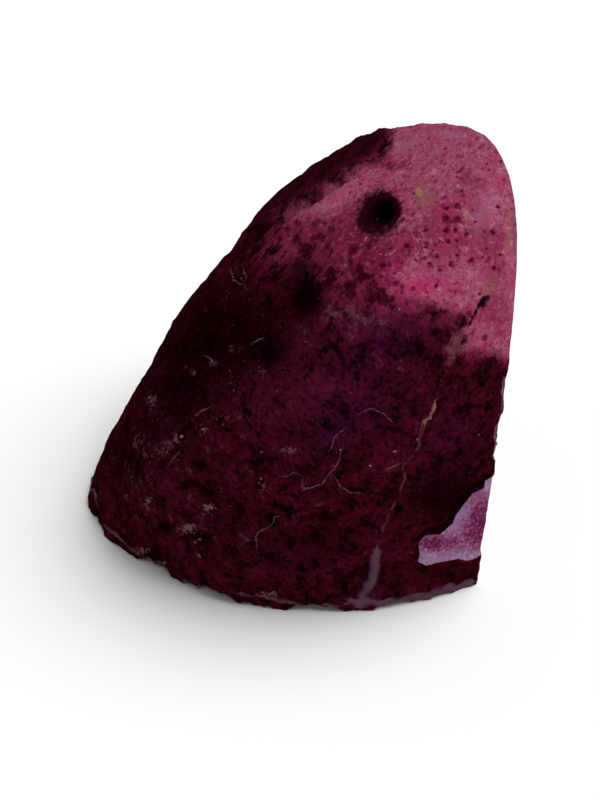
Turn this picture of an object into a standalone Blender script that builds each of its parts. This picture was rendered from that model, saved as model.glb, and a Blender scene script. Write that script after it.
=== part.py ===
"""Half of an agate geode with a sawn base, standing upright.

The stone is one solid: a faceted nodule with a pitted rind, sawn down its middle (the
flat face towards -Y) and across its bottom, with a hollow in the sawn face.  The quartz
crystals that line the hollow are a second solid, a crust just clear of the hollow's wall.
Lengths and places are in millimetres here and become metres when a mesh is made.
"""
import math
import random

import bmesh
import bpy
from mathutils import Matrix, Vector

MM = 0.001

# ---- Driving dimensions, mm ----
FACE_Y = -31.5                        # the sawn, polished face
BASE_Z = 0.0                          # the sawn base
HEART = Vector((0.8, -25.5, 16.0))    # the point that the rind's distances start from
CREASE = 7.2                          # how sharply the rind's facets meet
RIND_CUTS = 28                        # squares along one side of the nodule's mesh

HOLLOW_CENTRE = Vector((-7.0, -33.0, 39.0))
HOLLOW_REACH = (26.0, 23.0, 18.5)     # half width, depth and half height
CRUST_GAP = 0.35                      # between the hollow's wall and the crust
CRUST_THICK = 3.2                     # from the hollow's wall to the crystals' feet
CRYSTAL_TALL = (1.6, 4.2)             # shortest and tallest crystal tip

# The nodule's facets: azimuth and elevation in degrees, distance from the heart in mm.
FACETS = {
    "left_wall": (188.0, -9.0, 49.5),
    "left_shoulder": (178.5, 20.0, 83.5),
    "rear_slope": (69.5, 46.0, 47.5),
    "left_rear_wall": (136.0, -10.5, 53.5),
    "rear_wall": (93.5, -11.0, 61.5),
    "top": (77.0, 71.0, 85.5),
    "right_wall": (1.0, -5.0, 54.0),
    "right_shoulder": (5.0, 51.0, 57.0),
    "right_rear": (54.0, 28.0, 44.5),
    "left_rear_shoulder": (125.0, 27.5, 73.0),
    "front": (-90.0, 0.0, 60.0),
    "underside": (0.0, -90.0, 60.0),
}

# Broad swellings (+) and dimples (-) of the rind: azimuth, elevation, spread, height.
SWELLS = [
    (138.0, 54.0, 5.2, -2.4),         # long dimple below the ledge
    (135.0, 39.0, 3.6, -1.5),
    (157.0, 28.0, 3.6, -1.1),
    (155.0, 15.0, 3.0, -0.9),
    (121.0, 12.0, 8.0, -1.2),
    (150.0, 40.0, 9.0, 1.0),
    (175.0, 14.0, 9.0, 0.7),
    (128.0, -12.0, 9.0, 2.0),         # foot of the left rear wall
    (103.0, -8.0, 8.0, -1.3),
    (74.0, -13.0, 6.0, 1.2),
    (96.0, 16.0, 8.0, -1.4),
    (70.0, 6.0, 9.0, 0.7),
    (60.0, 45.0, 8.0, -0.9),
    (45.0, 16.0, 7.0, -0.3),
    (30.0, 30.0, 8.0, 0.8),
    (12.0, 54.0, 6.0, 0.9),
    (22.0, 36.0, 7.0, -1.0),
    (8.0, 10.0, 10.0, 1.5),
    (-14.0, 28.0, 8.0, 1.2),
    (25.0, -6.0, 7.0, -1.4),
    (52.0, -10.0, 8.0, 0.6),
    (175.0, 74.0, 6.0, -0.8),
]

# The ledge: a groove across the top of the rear slope, and beyond it a rough raised strip
# as far as the sawn face.
LEDGE_START = Vector((4.0, -11.5, 65.0))
LEDGE_END = Vector((-22.0, -23.5, 84.5))
LEDGE_GROOVE = 1.2
LEDGE_RISE = 1.3
LEDGE_NOTCH = -2.0                    # a gap in the strip, measured from its start

# Round pits: azimuth, elevation, length, width, depth, turn in degrees.
PITS = {
    "big_pit": (161.0, 60.0, 9.6, 7.2, 3.4, 35.0),
    "ring_pit": (142.5, 17.0, 4.2, 3.4, 1.3, 0.0),
    "low_pit_1": (121.6, 15.4, 4.4, 3.2, 1.5, 20.0),
    "low_pit_2": (123.7, 9.0, 5.0, 3.4, 1.6, 70.0),
    "low_pit_3": (111.3, -2.8, 4.6, 3.6, 1.6, 10.0),
    "low_pit_4": (121.8, -3.0, 5.2, 3.0, 1.5, 40.0),
    "low_pit_5": (129.5, 4.0, 4.0, 2.8, 1.2, 60.0),
    "rear_pit_1": (84.0, 8.0, 6.4, 4.8, 2.2, 15.0),
    "rear_pit_2": (66.0, 24.0, 7.0, 5.0, 2.4, 65.0),
    "right_pit_1": (22.0, 12.0, 6.0, 4.2, 2.0, 30.0),
    "right_pit_2": (4.0, 34.0, 7.4, 5.0, 2.4, 80.0),
    "top_pit": (40.0, 58.0, 5.6, 4.4, 1.8, 25.0),
}

# Chips broken from the edge of the base and of the face: angle around the heart in degrees,
# half length along the edge, half width into the sawn face, half height up the rind.
BASE_CHIPS = [
    (123.0, 5.2, 1.1, 1.4),
    (146.0, 6.4, 1.3, 1.5),
    (164.0, 4.4, 1.2, 1.4),
    (105.0, 4.6, 1.0, 1.3),
    (68.0, 5.4, 1.8, 2.2),
    (31.0, 4.6, 1.8, 1.8),
]
FACE_CHIPS = [
    (157.0, 3.6, 0.9, 1.3),
    (149.5, 2.8, 0.8, 1.0),
    (44.0, 4.6, 1.4, 1.8),
    (6.0, 4.0, 1.3, 1.6),
]

# The flake broken from the left wall at the sawn face: middle of its floor's outline as
# azimuth and elevation, then the outline across (towards the face) and up from there.
FLAKE_AT = (177.7, 1.6)
FLAKE_DEEP = 1.0
FLAKE_TILT = -5.0
FLAKE_OUTLINE = [
    (10.5, 12.0), (7.6, 10.6), (6.0, 8.6), (3.4, 7.4), (1.6, 5.2), (0.0, 2.6), (-0.8, 0.6),
    (-3.2, -0.8), (-6.3, 0.0), (-7.6, -2.0), (-7.2, -6.4), (-5.0, -8.2), (1.4, -8.7),
    (5.0, -10.2), (10.5, -10.4),
]

# Albedo, roughness of each piece's plain material.
COLOURS = {
    "agate_half": ((0.118, 0.014, 0.045, 1.0), 0.55),
    "crystal_crust": ((0.72, 0.42, 0.56, 1.0), 0.15),
}


# ---- Shape of the rind ----

def direction(azimuth, elevation):
    """Unit vector from an azimuth (from +X towards +Y) and an elevation, in degrees."""
    a = math.radians(azimuth)
    e = math.radians(elevation)
    return Vector((math.cos(a) * math.cos(e), math.sin(a) * math.cos(e), math.sin(e)))


FACET_PLANES = [(direction(a, e), reach) for a, e, reach in FACETS.values()]


def smooth(low, high, value):
    """0 below low, 1 above high, with an easy slope between them."""
    t = min(1.0, max(0.0, (value - low) / (high - low)))
    return t * t * (3.0 - 2.0 * t)


def nodule_reach(d):
    """Distance from the heart to the faceted nodule along the unit vector d."""
    total = 0.0
    for normal, reach in FACET_PLANES:
        total += max(0.0, normal.dot(d) / reach) ** CREASE
    return total ** (-1.0 / CREASE)


def knobs():
    """Small knobs and hollows strewn over the rind, as points, spreads and heights."""
    rng = random.Random(7)
    found = []
    for _ in range(150):
        d = direction(rng.uniform(-180.0, 180.0), math.degrees(math.asin(rng.uniform(-0.5, 1.0))))
        centre = HEART + d * nodule_reach(d)
        found.append((centre, rng.uniform(2.6, 5.5), rng.uniform(-0.55, 0.65)))
    return found


def swells():
    """The named swellings and the small knobs, as points, spreads and heights."""
    found = knobs()
    for azimuth, elevation, spread, height in SWELLS:
        d = direction(azimuth, elevation)
        found.append((HEART + d * nodule_reach(d), spread, height))
    return found


SWELL_POINTS = swells()


def ledge_relief(p):
    """Height of the ledge at a point: a narrow groove, then the raised strip."""
    along = LEDGE_END - LEDGE_START
    length = along.length
    along.normalize()
    across = Vector((-along.y, along.x, 0.0)).normalized()
    run = (p - LEDGE_START).dot(along)
    off = (p - LEDGE_START).dot(across)
    inside = smooth(-24.0, -12.0, run) * (1.0 - smooth(length - 18.0, length - 6.0, run))
    off += 1.1 * math.sin(run * 0.55) + 0.5 * math.sin(run * 1.7)
    groove = -LEDGE_GROOVE * math.exp(-(off / 1.3) ** 2)
    strip = LEDGE_RISE * smooth(0.5, 3.0, off) * (1.0 - 0.5 * smooth(0.0, length, run))
    notch = 1.0 - 0.75 * math.exp(-((run - LEDGE_NOTCH) / 2.6) ** 2)
    return inside * (groove + strip * notch)


def rind_point(d):
    """The rind's point along the unit vector d from the heart."""
    p = HEART + d * nodule_reach(d)
    lift = ledge_relief(p)
    for centre, spread, height in SWELL_POINTS:
        gap = (p - centre).length_squared / (2.0 * spread * spread)
        if gap < 9.0:
            lift += height * math.exp(-gap)
    return p + d * lift


def rind_frame(azimuth, elevation, turn=0.0):
    """Matrix at a rind point: Z out of the stone, X across turned by turn degrees."""
    here = rind_point(direction(azimuth, elevation))
    east = rind_point(direction(azimuth + 1.0, elevation)) - here
    north = rind_point(direction(azimuth, elevation + 1.0)) - here
    out = east.cross(north).normalized()
    across = Vector((0.0, 0.0, 1.0)).cross(out).normalized()
    up = out.cross(across)
    axes = Matrix((across, up, out)).transposed().to_4x4()
    return Matrix.Translation(here) @ axes @ Matrix.Rotation(math.radians(turn), 4, "Z")


# ---- Shape of the hollow and of its crystals ----

def hollow_reach(d):
    """Distance from the hollow's centre to its uneven wall along the unit vector d."""
    wide, deep, tall = HOLLOW_REACH
    plain = 1.0 / math.sqrt((d.x / wide) ** 2 + (d.y / deep) ** 2 + (d.z / tall) ** 2)
    lobes = 0.09 * math.sin(3.0 * d.x + 1.0) * math.cos(4.0 * d.z) + 0.06 * math.sin(5.0 * d.z + 2.0 * d.y)
    return plain * (1.0 + lobes)


# ---- Mesh helpers ----

def clear_scene():
    for obj in list(bpy.data.objects):
        bpy.data.objects.remove(obj, do_unlink=True)


def make_material(name):
    colour, roughness = COLOURS[name]
    material = bpy.data.materials.new(name)
    material.use_nodes = True
    shader = material.node_tree.nodes["Principled BSDF"]
    shader.inputs["Base Color"].default_value = colour
    shader.inputs["Roughness"].default_value = roughness
    shader.inputs["Metallic"].default_value = 0.0
    return material


def add_object(name, bm):
    """Turn a bmesh in millimetres into an object in metres."""
    bmesh.ops.scale(bm, vec=(MM, MM, MM), verts=bm.verts)
    mesh = bpy.data.meshes.new(name)
    bm.to_mesh(mesh)
    bm.free()
    obj = bpy.data.objects.new(name, mesh)
    bpy.context.scene.collection.objects.link(obj)
    return obj


def as_cutter(obj):
    obj.hide_render = True
    obj.display_type = "WIRE"
    return obj


def cut(target, cutter):
    """Take the cutter's shape out of the target."""
    modifier = target.modifiers.new(cutter.name, "BOOLEAN")
    modifier.operation = "DIFFERENCE"
    modifier.solver = "EXACT"
    modifier.object = as_cutter(cutter)


def finish(obj):
    obj.data.materials.append(make_material(obj.name))
    obj.data.shade_smooth()
    obj.data.set_sharp_from_angle(angle=math.radians(35.0))


# ---- The stone ----

def saw(bm, point, outward):
    """Saw a closed mesh along a plane, drop what lies outward and close the flat face."""
    bmesh.ops.bisect_plane(
        bm, geom=bm.verts[:] + bm.edges[:] + bm.faces[:], dist=0.001,
        plane_co=point, plane_no=outward, clear_outer=True)
    rim = [edge for edge in bm.edges if edge.is_boundary]
    bmesh.ops.edgeloop_fill(bm, edges=rim)


def make_nodule():
    """The whole nodule: a cube cut into squares, puffed out to the rind, then sawn."""
    bm = bmesh.new()
    bmesh.ops.create_cube(bm, size=2.0)
    bmesh.ops.subdivide_edges(bm, edges=bm.edges[:], cuts=RIND_CUTS - 1, use_grid_fill=True)
    for vert in bm.verts:
        even = Vector([math.tan(c * math.pi / 4.0) for c in vert.co])
        vert.co = rind_point(even.normalized())
    saw(bm, (0.0, FACE_Y, 0.0), (0.0, -1.0, 0.0))
    saw(bm, (0.0, 0.0, BASE_Z), (0.0, 0.0, -1.0))
    bmesh.ops.recalc_face_normals(bm, faces=bm.faces)
    return add_object("agate_half", bm)


def make_hollow(name, inset):
    """The hollow's shape, drawn in by inset from its wall."""
    bm = bmesh.new()
    bmesh.ops.create_icosphere(bm, subdivisions=3, radius=1.0)
    for vert in bm.verts:
        d = vert.co.normalized()
        vert.co = HOLLOW_CENTRE + d * hollow_reach(d)
    bm.normal_update()
    normals = [vert.normal.copy() for vert in bm.verts]
    for vert, normal in zip(bm.verts, normals):
        vert.co -= normal * inset
    return add_object(name, bm)


def make_pit(name, azimuth, elevation, length, width, depth, turn):
    """A pit's cutter: a low dome turned down into the rind, half above it."""
    bm = bmesh.new()
    bmesh.ops.create_icosphere(bm, subdivisions=2, radius=1.0)
    bmesh.ops.scale(bm, vec=(length / 2.0, width / 2.0, depth), verts=bm.verts)
    bm.transform(rind_frame(azimuth, elevation, turn))
    return add_object(name, bm)


def edge_point(aim, limit_axis, limit):
    """Where the rind meets a sawn plane: aim gives the direction for a lean from 0 to 1."""
    low, high = 0.0, 1.0
    for _ in range(30):
        lean = (low + high) / 2.0
        if rind_point(aim(lean))[limit_axis] > limit:
            low = lean
        else:
            high = lean
    return rind_point(aim(low))


def make_base_chip(name, angle, half_length, half_width, half_height):
    """A chip's cutter on the base's edge: a flat dome whose long side follows the edge."""
    bm = bmesh.new()
    bmesh.ops.create_icosphere(bm, subdivisions=2, radius=1.0)
    bmesh.ops.scale(bm, vec=(half_width, half_length, half_height), verts=bm.verts)
    here = edge_point(lambda lean: direction(angle, -60.0 * lean), 2, BASE_Z)
    there = edge_point(lambda lean: direction(angle + 2.0, -60.0 * lean), 2, BASE_Z)
    turn = math.atan2(there.y - here.y, there.x - here.x) - math.pi / 2.0
    bm.transform(Matrix.Translation(here) @ Matrix.Rotation(turn, 4, "Z"))
    return add_object(name, bm)


def face_aim(angle):
    """Directions that swing from the rear towards the front at an angle in the face."""
    a = math.radians(angle)
    return lambda lean: Vector((math.cos(a), 0.6 - 1.2 * lean, math.sin(a))).normalized()


def make_face_chip(name, angle, half_length, half_width, half_height):
    """A chip's cutter on the face's edge: a flat dome whose long side follows the edge."""
    bm = bmesh.new()
    bmesh.ops.create_icosphere(bm, subdivisions=2, radius=1.0)
    bmesh.ops.scale(bm, vec=(half_width, half_height, half_length), verts=bm.verts)
    here = edge_point(face_aim(angle), 1, FACE_Y)
    there = edge_point(face_aim(angle + 2.0), 1, FACE_Y)
    turn = math.atan2(there.x - here.x, there.z - here.z)
    bm.transform(Matrix.Translation(here) @ Matrix.Rotation(turn, 4, "Y"))
    return add_object(name, bm)


def make_flake():
    """The flake's cutter: its outline drawn down into the wall, shallower at the face."""
    bm = bmesh.new()
    floor = [bm.verts.new((x, y, -FLAKE_DEEP)) for x, y in FLAKE_OUTLINE]
    face = bm.faces.new(floor)
    lid = bmesh.ops.extrude_face_region(bm, geom=[face])
    raised = [item for item in lid["geom"] if isinstance(item, bmesh.types.BMVert)]
    bmesh.ops.translate(bm, vec=(0.0, 0.0, 4.0 * FLAKE_DEEP), verts=raised)
    bmesh.ops.recalc_face_normals(bm, faces=bm.faces)
    tilt = Matrix.Rotation(math.radians(FLAKE_TILT), 4, "Y")
    bm.transform(rind_frame(*FLAKE_AT) @ tilt)
    return add_object("flake", bm)


# ---- The crystals ----

def make_crystal_space():
    """The open space left between the crystals: a ball whose skin is all inward points.

    Each corner of a fine ball becomes one six-sided crystal tip; the centres of the
    triangles around it are the valleys between that crystal and its neighbours.
    """
    rng = random.Random(21)
    ball = bmesh.new()
    bmesh.ops.create_icosphere(ball, subdivisions=4, radius=1.0)
    ball.normal_update()
    bm = bmesh.new()
    valleys = {}
    for face in ball.faces:
        d = face.calc_center_median().normalized()
        reach = hollow_reach(d) - CRUST_THICK - rng.uniform(-0.5, 0.5)
        valleys[face.index] = bm.verts.new(HOLLOW_CENTRE + d * reach)
    for vert in ball.verts:
        d = vert.co.normalized()
        lean = Vector([rng.uniform(-0.035, 0.035) for _ in range(3)])
        tall = rng.uniform(*CRYSTAL_TALL)
        tip_dir = (d + lean).normalized()
        tip = bm.verts.new(HOLLOW_CENTRE + tip_dir * (hollow_reach(d) - CRUST_THICK - tall))
        side = d.orthogonal().normalized()
        other = d.cross(side)
        ring = []
        for face in vert.link_faces:
            off = face.calc_center_median() - vert.co
            ring.append((math.atan2(off.dot(other), off.dot(side)), face.index))
        ring.sort()
        for here, there in zip(ring, ring[1:] + ring[:1]):
            bm.faces.new((valleys[here[1]], valleys[there[1]], tip))
    ball.free()
    bmesh.ops.recalc_face_normals(bm, faces=bm.faces)
    return add_object("crystal_space", bm)


def make_front_block():
    """All the room in front of the sawn face."""
    bm = bmesh.new()
    bmesh.ops.create_cube(bm, size=200.0)
    bmesh.ops.translate(bm, vec=(0.0, FACE_Y - 100.0, 40.0), verts=bm.verts)
    return add_object("front_block", bm)


def centre_on_origin(objects):
    """Shift everything so that the stone's outline is centred on the origin."""
    stone = bpy.data.objects["agate_half"].data
    for axis in (0, 1):
        spread = [vert.co[axis] for vert in stone.vertices]
        middle = (min(spread) + max(spread)) / 2.0
        for obj in objects:
            obj.location[axis] = -middle


def main():
    clear_scene()
    stone = make_nodule()
    cut(stone, make_hollow("hollow", 0.0))
    cut(stone, make_flake())
    for name, sizes in PITS.items():
        cut(stone, make_pit(name, *sizes))
    for number, sizes in enumerate(BASE_CHIPS, 1):
        cut(stone, make_base_chip(f"base_chip_{number}", *sizes))
    for number, sizes in enumerate(FACE_CHIPS, 1):
        cut(stone, make_face_chip(f"face_chip_{number}", *sizes))
    crust = make_hollow("crystal_crust", CRUST_GAP)
    cut(crust, make_crystal_space())
    cut(crust, make_front_block())
    finish(stone)
    finish(crust)
    centre_on_origin(list(bpy.data.objects))


main()
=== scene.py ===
import math
import random

import bpy
import numpy as np
from mathutils import Matrix, Vector, noise


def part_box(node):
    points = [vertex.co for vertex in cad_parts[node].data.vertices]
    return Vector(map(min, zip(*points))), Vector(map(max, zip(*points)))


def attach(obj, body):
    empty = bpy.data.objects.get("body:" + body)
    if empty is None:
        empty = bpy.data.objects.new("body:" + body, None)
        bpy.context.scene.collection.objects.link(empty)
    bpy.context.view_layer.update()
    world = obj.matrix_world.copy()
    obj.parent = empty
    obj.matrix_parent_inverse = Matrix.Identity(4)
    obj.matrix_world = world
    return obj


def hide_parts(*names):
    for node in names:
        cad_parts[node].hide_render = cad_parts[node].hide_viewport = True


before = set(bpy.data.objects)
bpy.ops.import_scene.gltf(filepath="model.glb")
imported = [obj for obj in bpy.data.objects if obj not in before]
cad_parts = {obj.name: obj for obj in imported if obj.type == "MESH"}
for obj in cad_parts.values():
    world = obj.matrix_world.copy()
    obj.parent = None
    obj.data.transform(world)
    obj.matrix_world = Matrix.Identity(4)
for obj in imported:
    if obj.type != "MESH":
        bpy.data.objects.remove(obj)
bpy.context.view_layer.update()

# Half of a dyed agate geode, sawn to stand. Everything is worked out in millimetres in
# the stone's own frame, and each finished mesh is brought to metres at the end.
mm = 0.001
tiny = 1e-9                            # keeps a division from zero
nearCut = 0.01                         # mm from a saw cut that still count as on it
straight = 0.99                        # how squarely a face looks along an axis, to be flat

view = {
    "size": (600, 800),                # width and height of the camera's view in pixels
    "aim": (-14.25, -7.09, 40.0),      # the point that the camera looks at
    "aimPixel": (303, 366),            # where that point falls in the view
    "azimuth": -115.0,                 # from behind the stone's left side
    "elevation": 27.0,
    "distance": 382.0,
    "lens": 85.0,
    "sensor": 36.0,
}


def viewAxes():
    # right, up and forward of the camera, its place, and its focal length in pixels
    azimuth, elevation = math.radians(view["azimuth"]), math.radians(view["elevation"])
    level = math.cos(elevation)
    back = Vector((math.sin(azimuth) * level, -math.cos(azimuth) * level, math.sin(elevation)))
    wide, high = view["size"]
    focal = view["lens"] / view["sensor"] * high
    right = (-back).cross(Vector((0, 0, 1))).normalized()
    up = right.cross(-back)
    aside = (view["aimPixel"][0] - wide / 2) / focal
    above = (high / 2 - view["aimPixel"][1]) / focal
    forward = (-back - right * aside - up * above).normalized()
    right = forward.cross(Vector((0, 0, 1))).normalized()
    up = right.cross(forward)
    place = Vector(view["aim"]) + back * view["distance"]
    return right, up, forward, place, focal


def toPixels(points):
    # where points fall in the camera's view, in its pixels
    right, up, forward, place, focal = viewAxes()
    wide, high = view["size"]
    off = points - np.array(place)
    depth = off @ np.array(forward)
    x = wide / 2 + focal * (off @ np.array(right)) / depth
    y = high / 2 - focal * (off @ np.array(up)) / depth
    return np.stack([x, y], 1)


def makeCamera():
    right, up, forward, place, _ = viewAxes()
    bpy.ops.object.camera_add()
    camera = bpy.context.object
    camera.name = "mainCamera"
    turn = Matrix((right, up, -forward)).transposed().to_4x4()
    camera.matrix_world = Matrix.Translation(place * mm) @ turn
    camera.data.sensor_fit = "VERTICAL"
    camera.data.sensor_height = view["sensor"]
    camera.data.lens = view["lens"]
    camera.data.clip_start = 10 * mm
    bpy.context.scene.camera = camera


# The nodule: a rounded solid of facets with swellings, as the CAD part has it.
nodule = {
    "heart": (0.8, -25.5, 16.0),       # the point that the rind's distances start from
    "crease": 7.2,                     # how sharply the facets meet
    "faceY": -31.5,                    # the sawn, polished face
    "baseZ": 0.0,                      # the sawn base
    "cuts": 61,                        # squares along a side of the first ball, less one
    # azimuth, elevation, distance from the heart
    "facets": [
        (188.0, -9.0, 49.5), (178.5, 20.0, 83.5), (69.5, 46.0, 47.5), (136.0, -10.5, 53.5),
        (93.5, -11.0, 61.5), (77.0, 71.0, 85.5), (1.0, -5.0, 54.0), (5.0, 51.0, 57.0),
        (54.0, 28.0, 44.5), (125.0, 27.5, 73.0), (-90.0, 0.0, 60.0), (0.0, -90.0, 60.0),
    ],
    # azimuth, elevation, spread, height
    "swells": [
        (138.0, 54.0, 5.2, -2.4), (135.0, 39.0, 3.6, -1.5), (157.0, 28.0, 3.6, -1.1),
        (155.0, 15.0, 3.0, -0.9), (121.0, 12.0, 8.0, -1.2), (150.0, 40.0, 9.0, 1.0),
        (175.0, 14.0, 9.0, 0.7), (128.0, -12.0, 9.0, 2.0), (103.0, -8.0, 8.0, -1.3),
        (74.0, -13.0, 6.0, 1.2), (96.0, 16.0, 8.0, -1.4), (70.0, 6.0, 9.0, 0.7),
        (60.0, 45.0, 8.0, -0.9), (45.0, 16.0, 7.0, -0.3), (30.0, 30.0, 8.0, 0.8),
        (12.0, 54.0, 6.0, 0.9), (22.0, 36.0, 7.0, -1.0), (8.0, 10.0, 10.0, 1.5),
        (-14.0, 28.0, 8.0, 1.2), (25.0, -6.0, 7.0, -1.4), (52.0, -10.0, 8.0, 0.6),
        (175.0, 74.0, 6.0, -0.8),
    ],
    "swellEnd": 9.0,                   # a swelling ends where e to the minus this is left of it
    # small knobs anywhere on the rind: how many, their spreads and heights
    "knobs": 150, "knobSpread": (2.6, 5.5), "knobHeight": (-0.55, 0.65),
    # the agate's layers: how sharply they bend at the facets' edges, and the depth
    # in which the rind's relief dies away
    "layerBend": 0.4, "layerSettle": 4.0,
}


def direction(azimuth, elevation):
    a, e = math.radians(azimuth), math.radians(elevation)
    return np.array([math.cos(a) * math.cos(e), math.sin(a) * math.cos(e), math.sin(e)])


def smooth(low, high, value):
    # from 0 at low to 1 at high, with soft ends
    t = np.clip((value - low) / (high - low), 0.0, 1.0)
    return t * t * (3.0 - 2.0 * t)


def unit(v):
    return v / np.linalg.norm(v, axis=-1, keepdims=True)


heart = np.array(nodule["heart"])
facetNormals = np.array([direction(a, e) for a, e, _ in nodule["facets"]])
facetReach = np.array([reach for _, _, reach in nodule["facets"]])


def reachAlong(rays):
    # from the heart to the plain rind, along each of some directions
    facing = np.clip(rays @ facetNormals.T, 0.0, None) / facetReach
    return (facing ** nodule["crease"]).sum(1) ** (-1.0 / nodule["crease"])


def plainNormals(points):
    # the way that the rind faces, without its relief
    facing = np.clip(unit(points - heart) @ facetNormals.T, 0.0, None) / facetReach
    return unit((facing ** (nodule["crease"] - 1.0) / facetReach) @ facetNormals)


def swellPoints():
    # centre, spread and height of every swelling: knobs anywhere, then the listed ones
    dice = random.Random(7)
    rows = [(dice.uniform(-180.0, 180.0), math.degrees(math.asin(dice.uniform(-0.5, 1.0))),
             dice.uniform(*nodule["knobSpread"]), dice.uniform(*nodule["knobHeight"]))
            for _ in range(nodule["knobs"])]
    found = []
    for azimuth, elevation, spread, height in rows + nodule["swells"]:
        ray = direction(azimuth, elevation)
        found.append((heart + ray * reachAlong(ray[None])[0], spread, height))
    return found


allSwells = swellPoints()


# The ledge near the top: a groove, with a raised strip beside it towards the face.
ledge = {
    "start": (4.0, -11.5, 65.0), "end": (-22.0, -23.5, 84.5),
    "sway": (1.1, 0.55),               # how far it sways in mm, and how fast along its run
    "fadeIn": (-24.0, -12.0),          # mm before its start, from nothing to full
    "fadeOut": (18.0, 6.0),            # mm before its end, from full to nothing
    "reach": 8.0,                      # how far to its sides it is ragged
    "ragged": [(0.9, 4.3, 6.1), (0.5, 1.9, 2.7)],  # amount, width and seed of noises
    "groove": (1.2, 1.3),              # depth and half width
    "strip": (1.3, 0.5, 3.0),          # height, and where its slope starts and ends
    "sinks": 0.5,                      # share of the strip that is lost by its end
    "notch": (-2.0, 2.6, 0.75),        # place along the ledge, half width, share taken away
}


def ledgePlace(points):
    # how far points are along the ledge, and across it towards the face
    start, end = np.array(ledge["start"]), np.array(ledge["end"])
    length = np.linalg.norm(end - start)
    along = (end - start) / length
    across = unit(np.array([-along[1], along[0], 0.0]))
    run = (points - start) @ along
    sway, speed = ledge["sway"]
    off = (points - start) @ across + sway * np.sin(run * speed)
    last = smooth(length - ledge["fadeOut"][0], length - ledge["fadeOut"][1], run)
    return run, off, smooth(*ledge["fadeIn"], run) * (1.0 - last), length


def ledgeRelief(points):
    run, off, inside, length = ledgePlace(points)
    near = np.flatnonzero((inside > 0.0) & (np.abs(off) < ledge["reach"]))
    off[near] += noiseSum(points[near], ledge["ragged"])
    depth, width = ledge["groove"]
    groove = -depth * np.exp(-(off / width) ** 2)
    height, low, high = ledge["strip"]
    strip = height * smooth(low, high, off) * (1.0 - ledge["sinks"] * smooth(0.0, length, run))
    place, width, share = ledge["notch"]
    notch = 1.0 - share * np.exp(-((run - place) / width) ** 2)
    return inside * (groove + strip * notch)


def rindPoints(rays):
    points = heart + rays * reachAlong(rays)[:, None]
    lift = ledgeRelief(points)
    for centre, spread, height in allSwells:
        gap = ((points - centre) ** 2).sum(1) / (2.0 * spread * spread)
        lift += np.where(gap < nodule["swellEnd"], height * np.exp(-gap), 0.0)
    return points + rays * lift[:, None]


def rindFrame(azimuth, elevation, turn=0.0):
    # a rind point and its across, up and outward axes, turned about the outward one
    here, east, north = rindPoints(np.array([
        direction(azimuth, elevation), direction(azimuth + 1.0, elevation),
        direction(azimuth, elevation + 1.0)]))
    out = unit(np.cross(east - here, north - here))
    across = unit(np.cross((0.0, 0.0, 1.0), out))
    return (here, *turnAxes(across, np.cross(out, across), math.radians(turn)), out)


def turnAxes(across, up, turn):
    cosine, sine = math.cos(turn), math.sin(turn)
    return across * cosine + up * sine, up * cosine - across * sine


def depthInside(points):
    # how deep points lie under the rind, which is the way that the agate's layers run
    bend, settle = nodule["layerBend"], nodule["layerSettle"]

    def facetDepth(places):
        gaps = facetReach - (places - heart) @ facetNormals.T
        return -np.log(np.exp(-bend * gaps).sum(1)) / bend

    skin = rindPoints(unit(points - heart))
    below = np.linalg.norm(skin - heart, axis=1) - np.linalg.norm(points - heart, axis=1)
    relief = facetDepth(skin) * np.exp(-np.clip(below, 0.0, None) / settle)
    return facetDepth(points) - relief


def noiseAt(points, size, seed=0.0):
    # soft noise from -1 to 1 whose lumps are about size millimetres wide
    shift = Vector((seed, seed * 0.7, -seed))
    return np.array([noise.noise(Vector(p) / size + shift) for p in points])


def noiseSum(points, rows, start=0.0):
    # several noises together, each row an amount, a width in mm and a seed
    return sum((amount * noiseAt(points, width, seed) for amount, width, seed in rows), start)


def deselectAll():
    if bpy.context.object and bpy.context.object.mode != "OBJECT":
        bpy.ops.object.mode_set(mode="OBJECT")
    bpy.ops.object.select_all(action="DESELECT")


def getPoints(mesh):
    found = np.empty(len(mesh.vertices) * 3, dtype=np.float32)
    mesh.vertices.foreach_get("co", found)
    return found.reshape(-1, 3).astype(float)


def setPoints(mesh, points):
    mesh.vertices.foreach_set("co", np.ascontiguousarray(points, dtype=np.float32).ravel())
    mesh.update()


def getNormals(mesh):
    found = np.empty(len(mesh.vertices) * 3, dtype=np.float32)
    mesh.vertex_normals.foreach_get("vector", found)
    return found.reshape(-1, 3).astype(float)


def getPolygons(mesh, what, width=1):
    found = np.empty(len(mesh.polygons) * width, dtype=np.float32)
    mesh.polygons.foreach_get(what, found)
    return found.reshape(-1, width) if width > 1 else found


def saveAttribute(mesh, name, values):
    layer = mesh.attributes.get(name) or mesh.attributes.new(name, "FLOAT", "POINT")
    layer.data.foreach_set("value", np.ascontiguousarray(values, dtype=np.float32))


def startEdit(mesh, kind, chosen=None):
    # go to edit mode with only the chosen vertices, edges or faces selected, or with all
    for part in (mesh.vertices, mesh.edges, mesh.polygons):
        part.foreach_set("select", np.zeros(len(part), dtype=bool))
    part = {"VERT": mesh.vertices, "EDGE": mesh.edges, "FACE": mesh.polygons}[kind]
    if chosen is None:
        chosen = np.ones(len(part), dtype=bool)
    part.foreach_set("select", np.ascontiguousarray(chosen, dtype=bool))
    bpy.context.tool_settings.mesh_select_mode = (kind == "VERT", kind == "EDGE", kind == "FACE")
    bpy.ops.object.mode_set(mode="EDIT")


def endEdit():
    bpy.ops.object.mode_set(mode="OBJECT")


def refineRind(mesh, chosen, cuts):
    startEdit(mesh, "FACE", chosen)
    bpy.ops.mesh.subdivide(number_cuts=cuts)
    endEdit()
    setPoints(mesh, rindPoints(unit(getPoints(mesh) - heart)))


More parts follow.
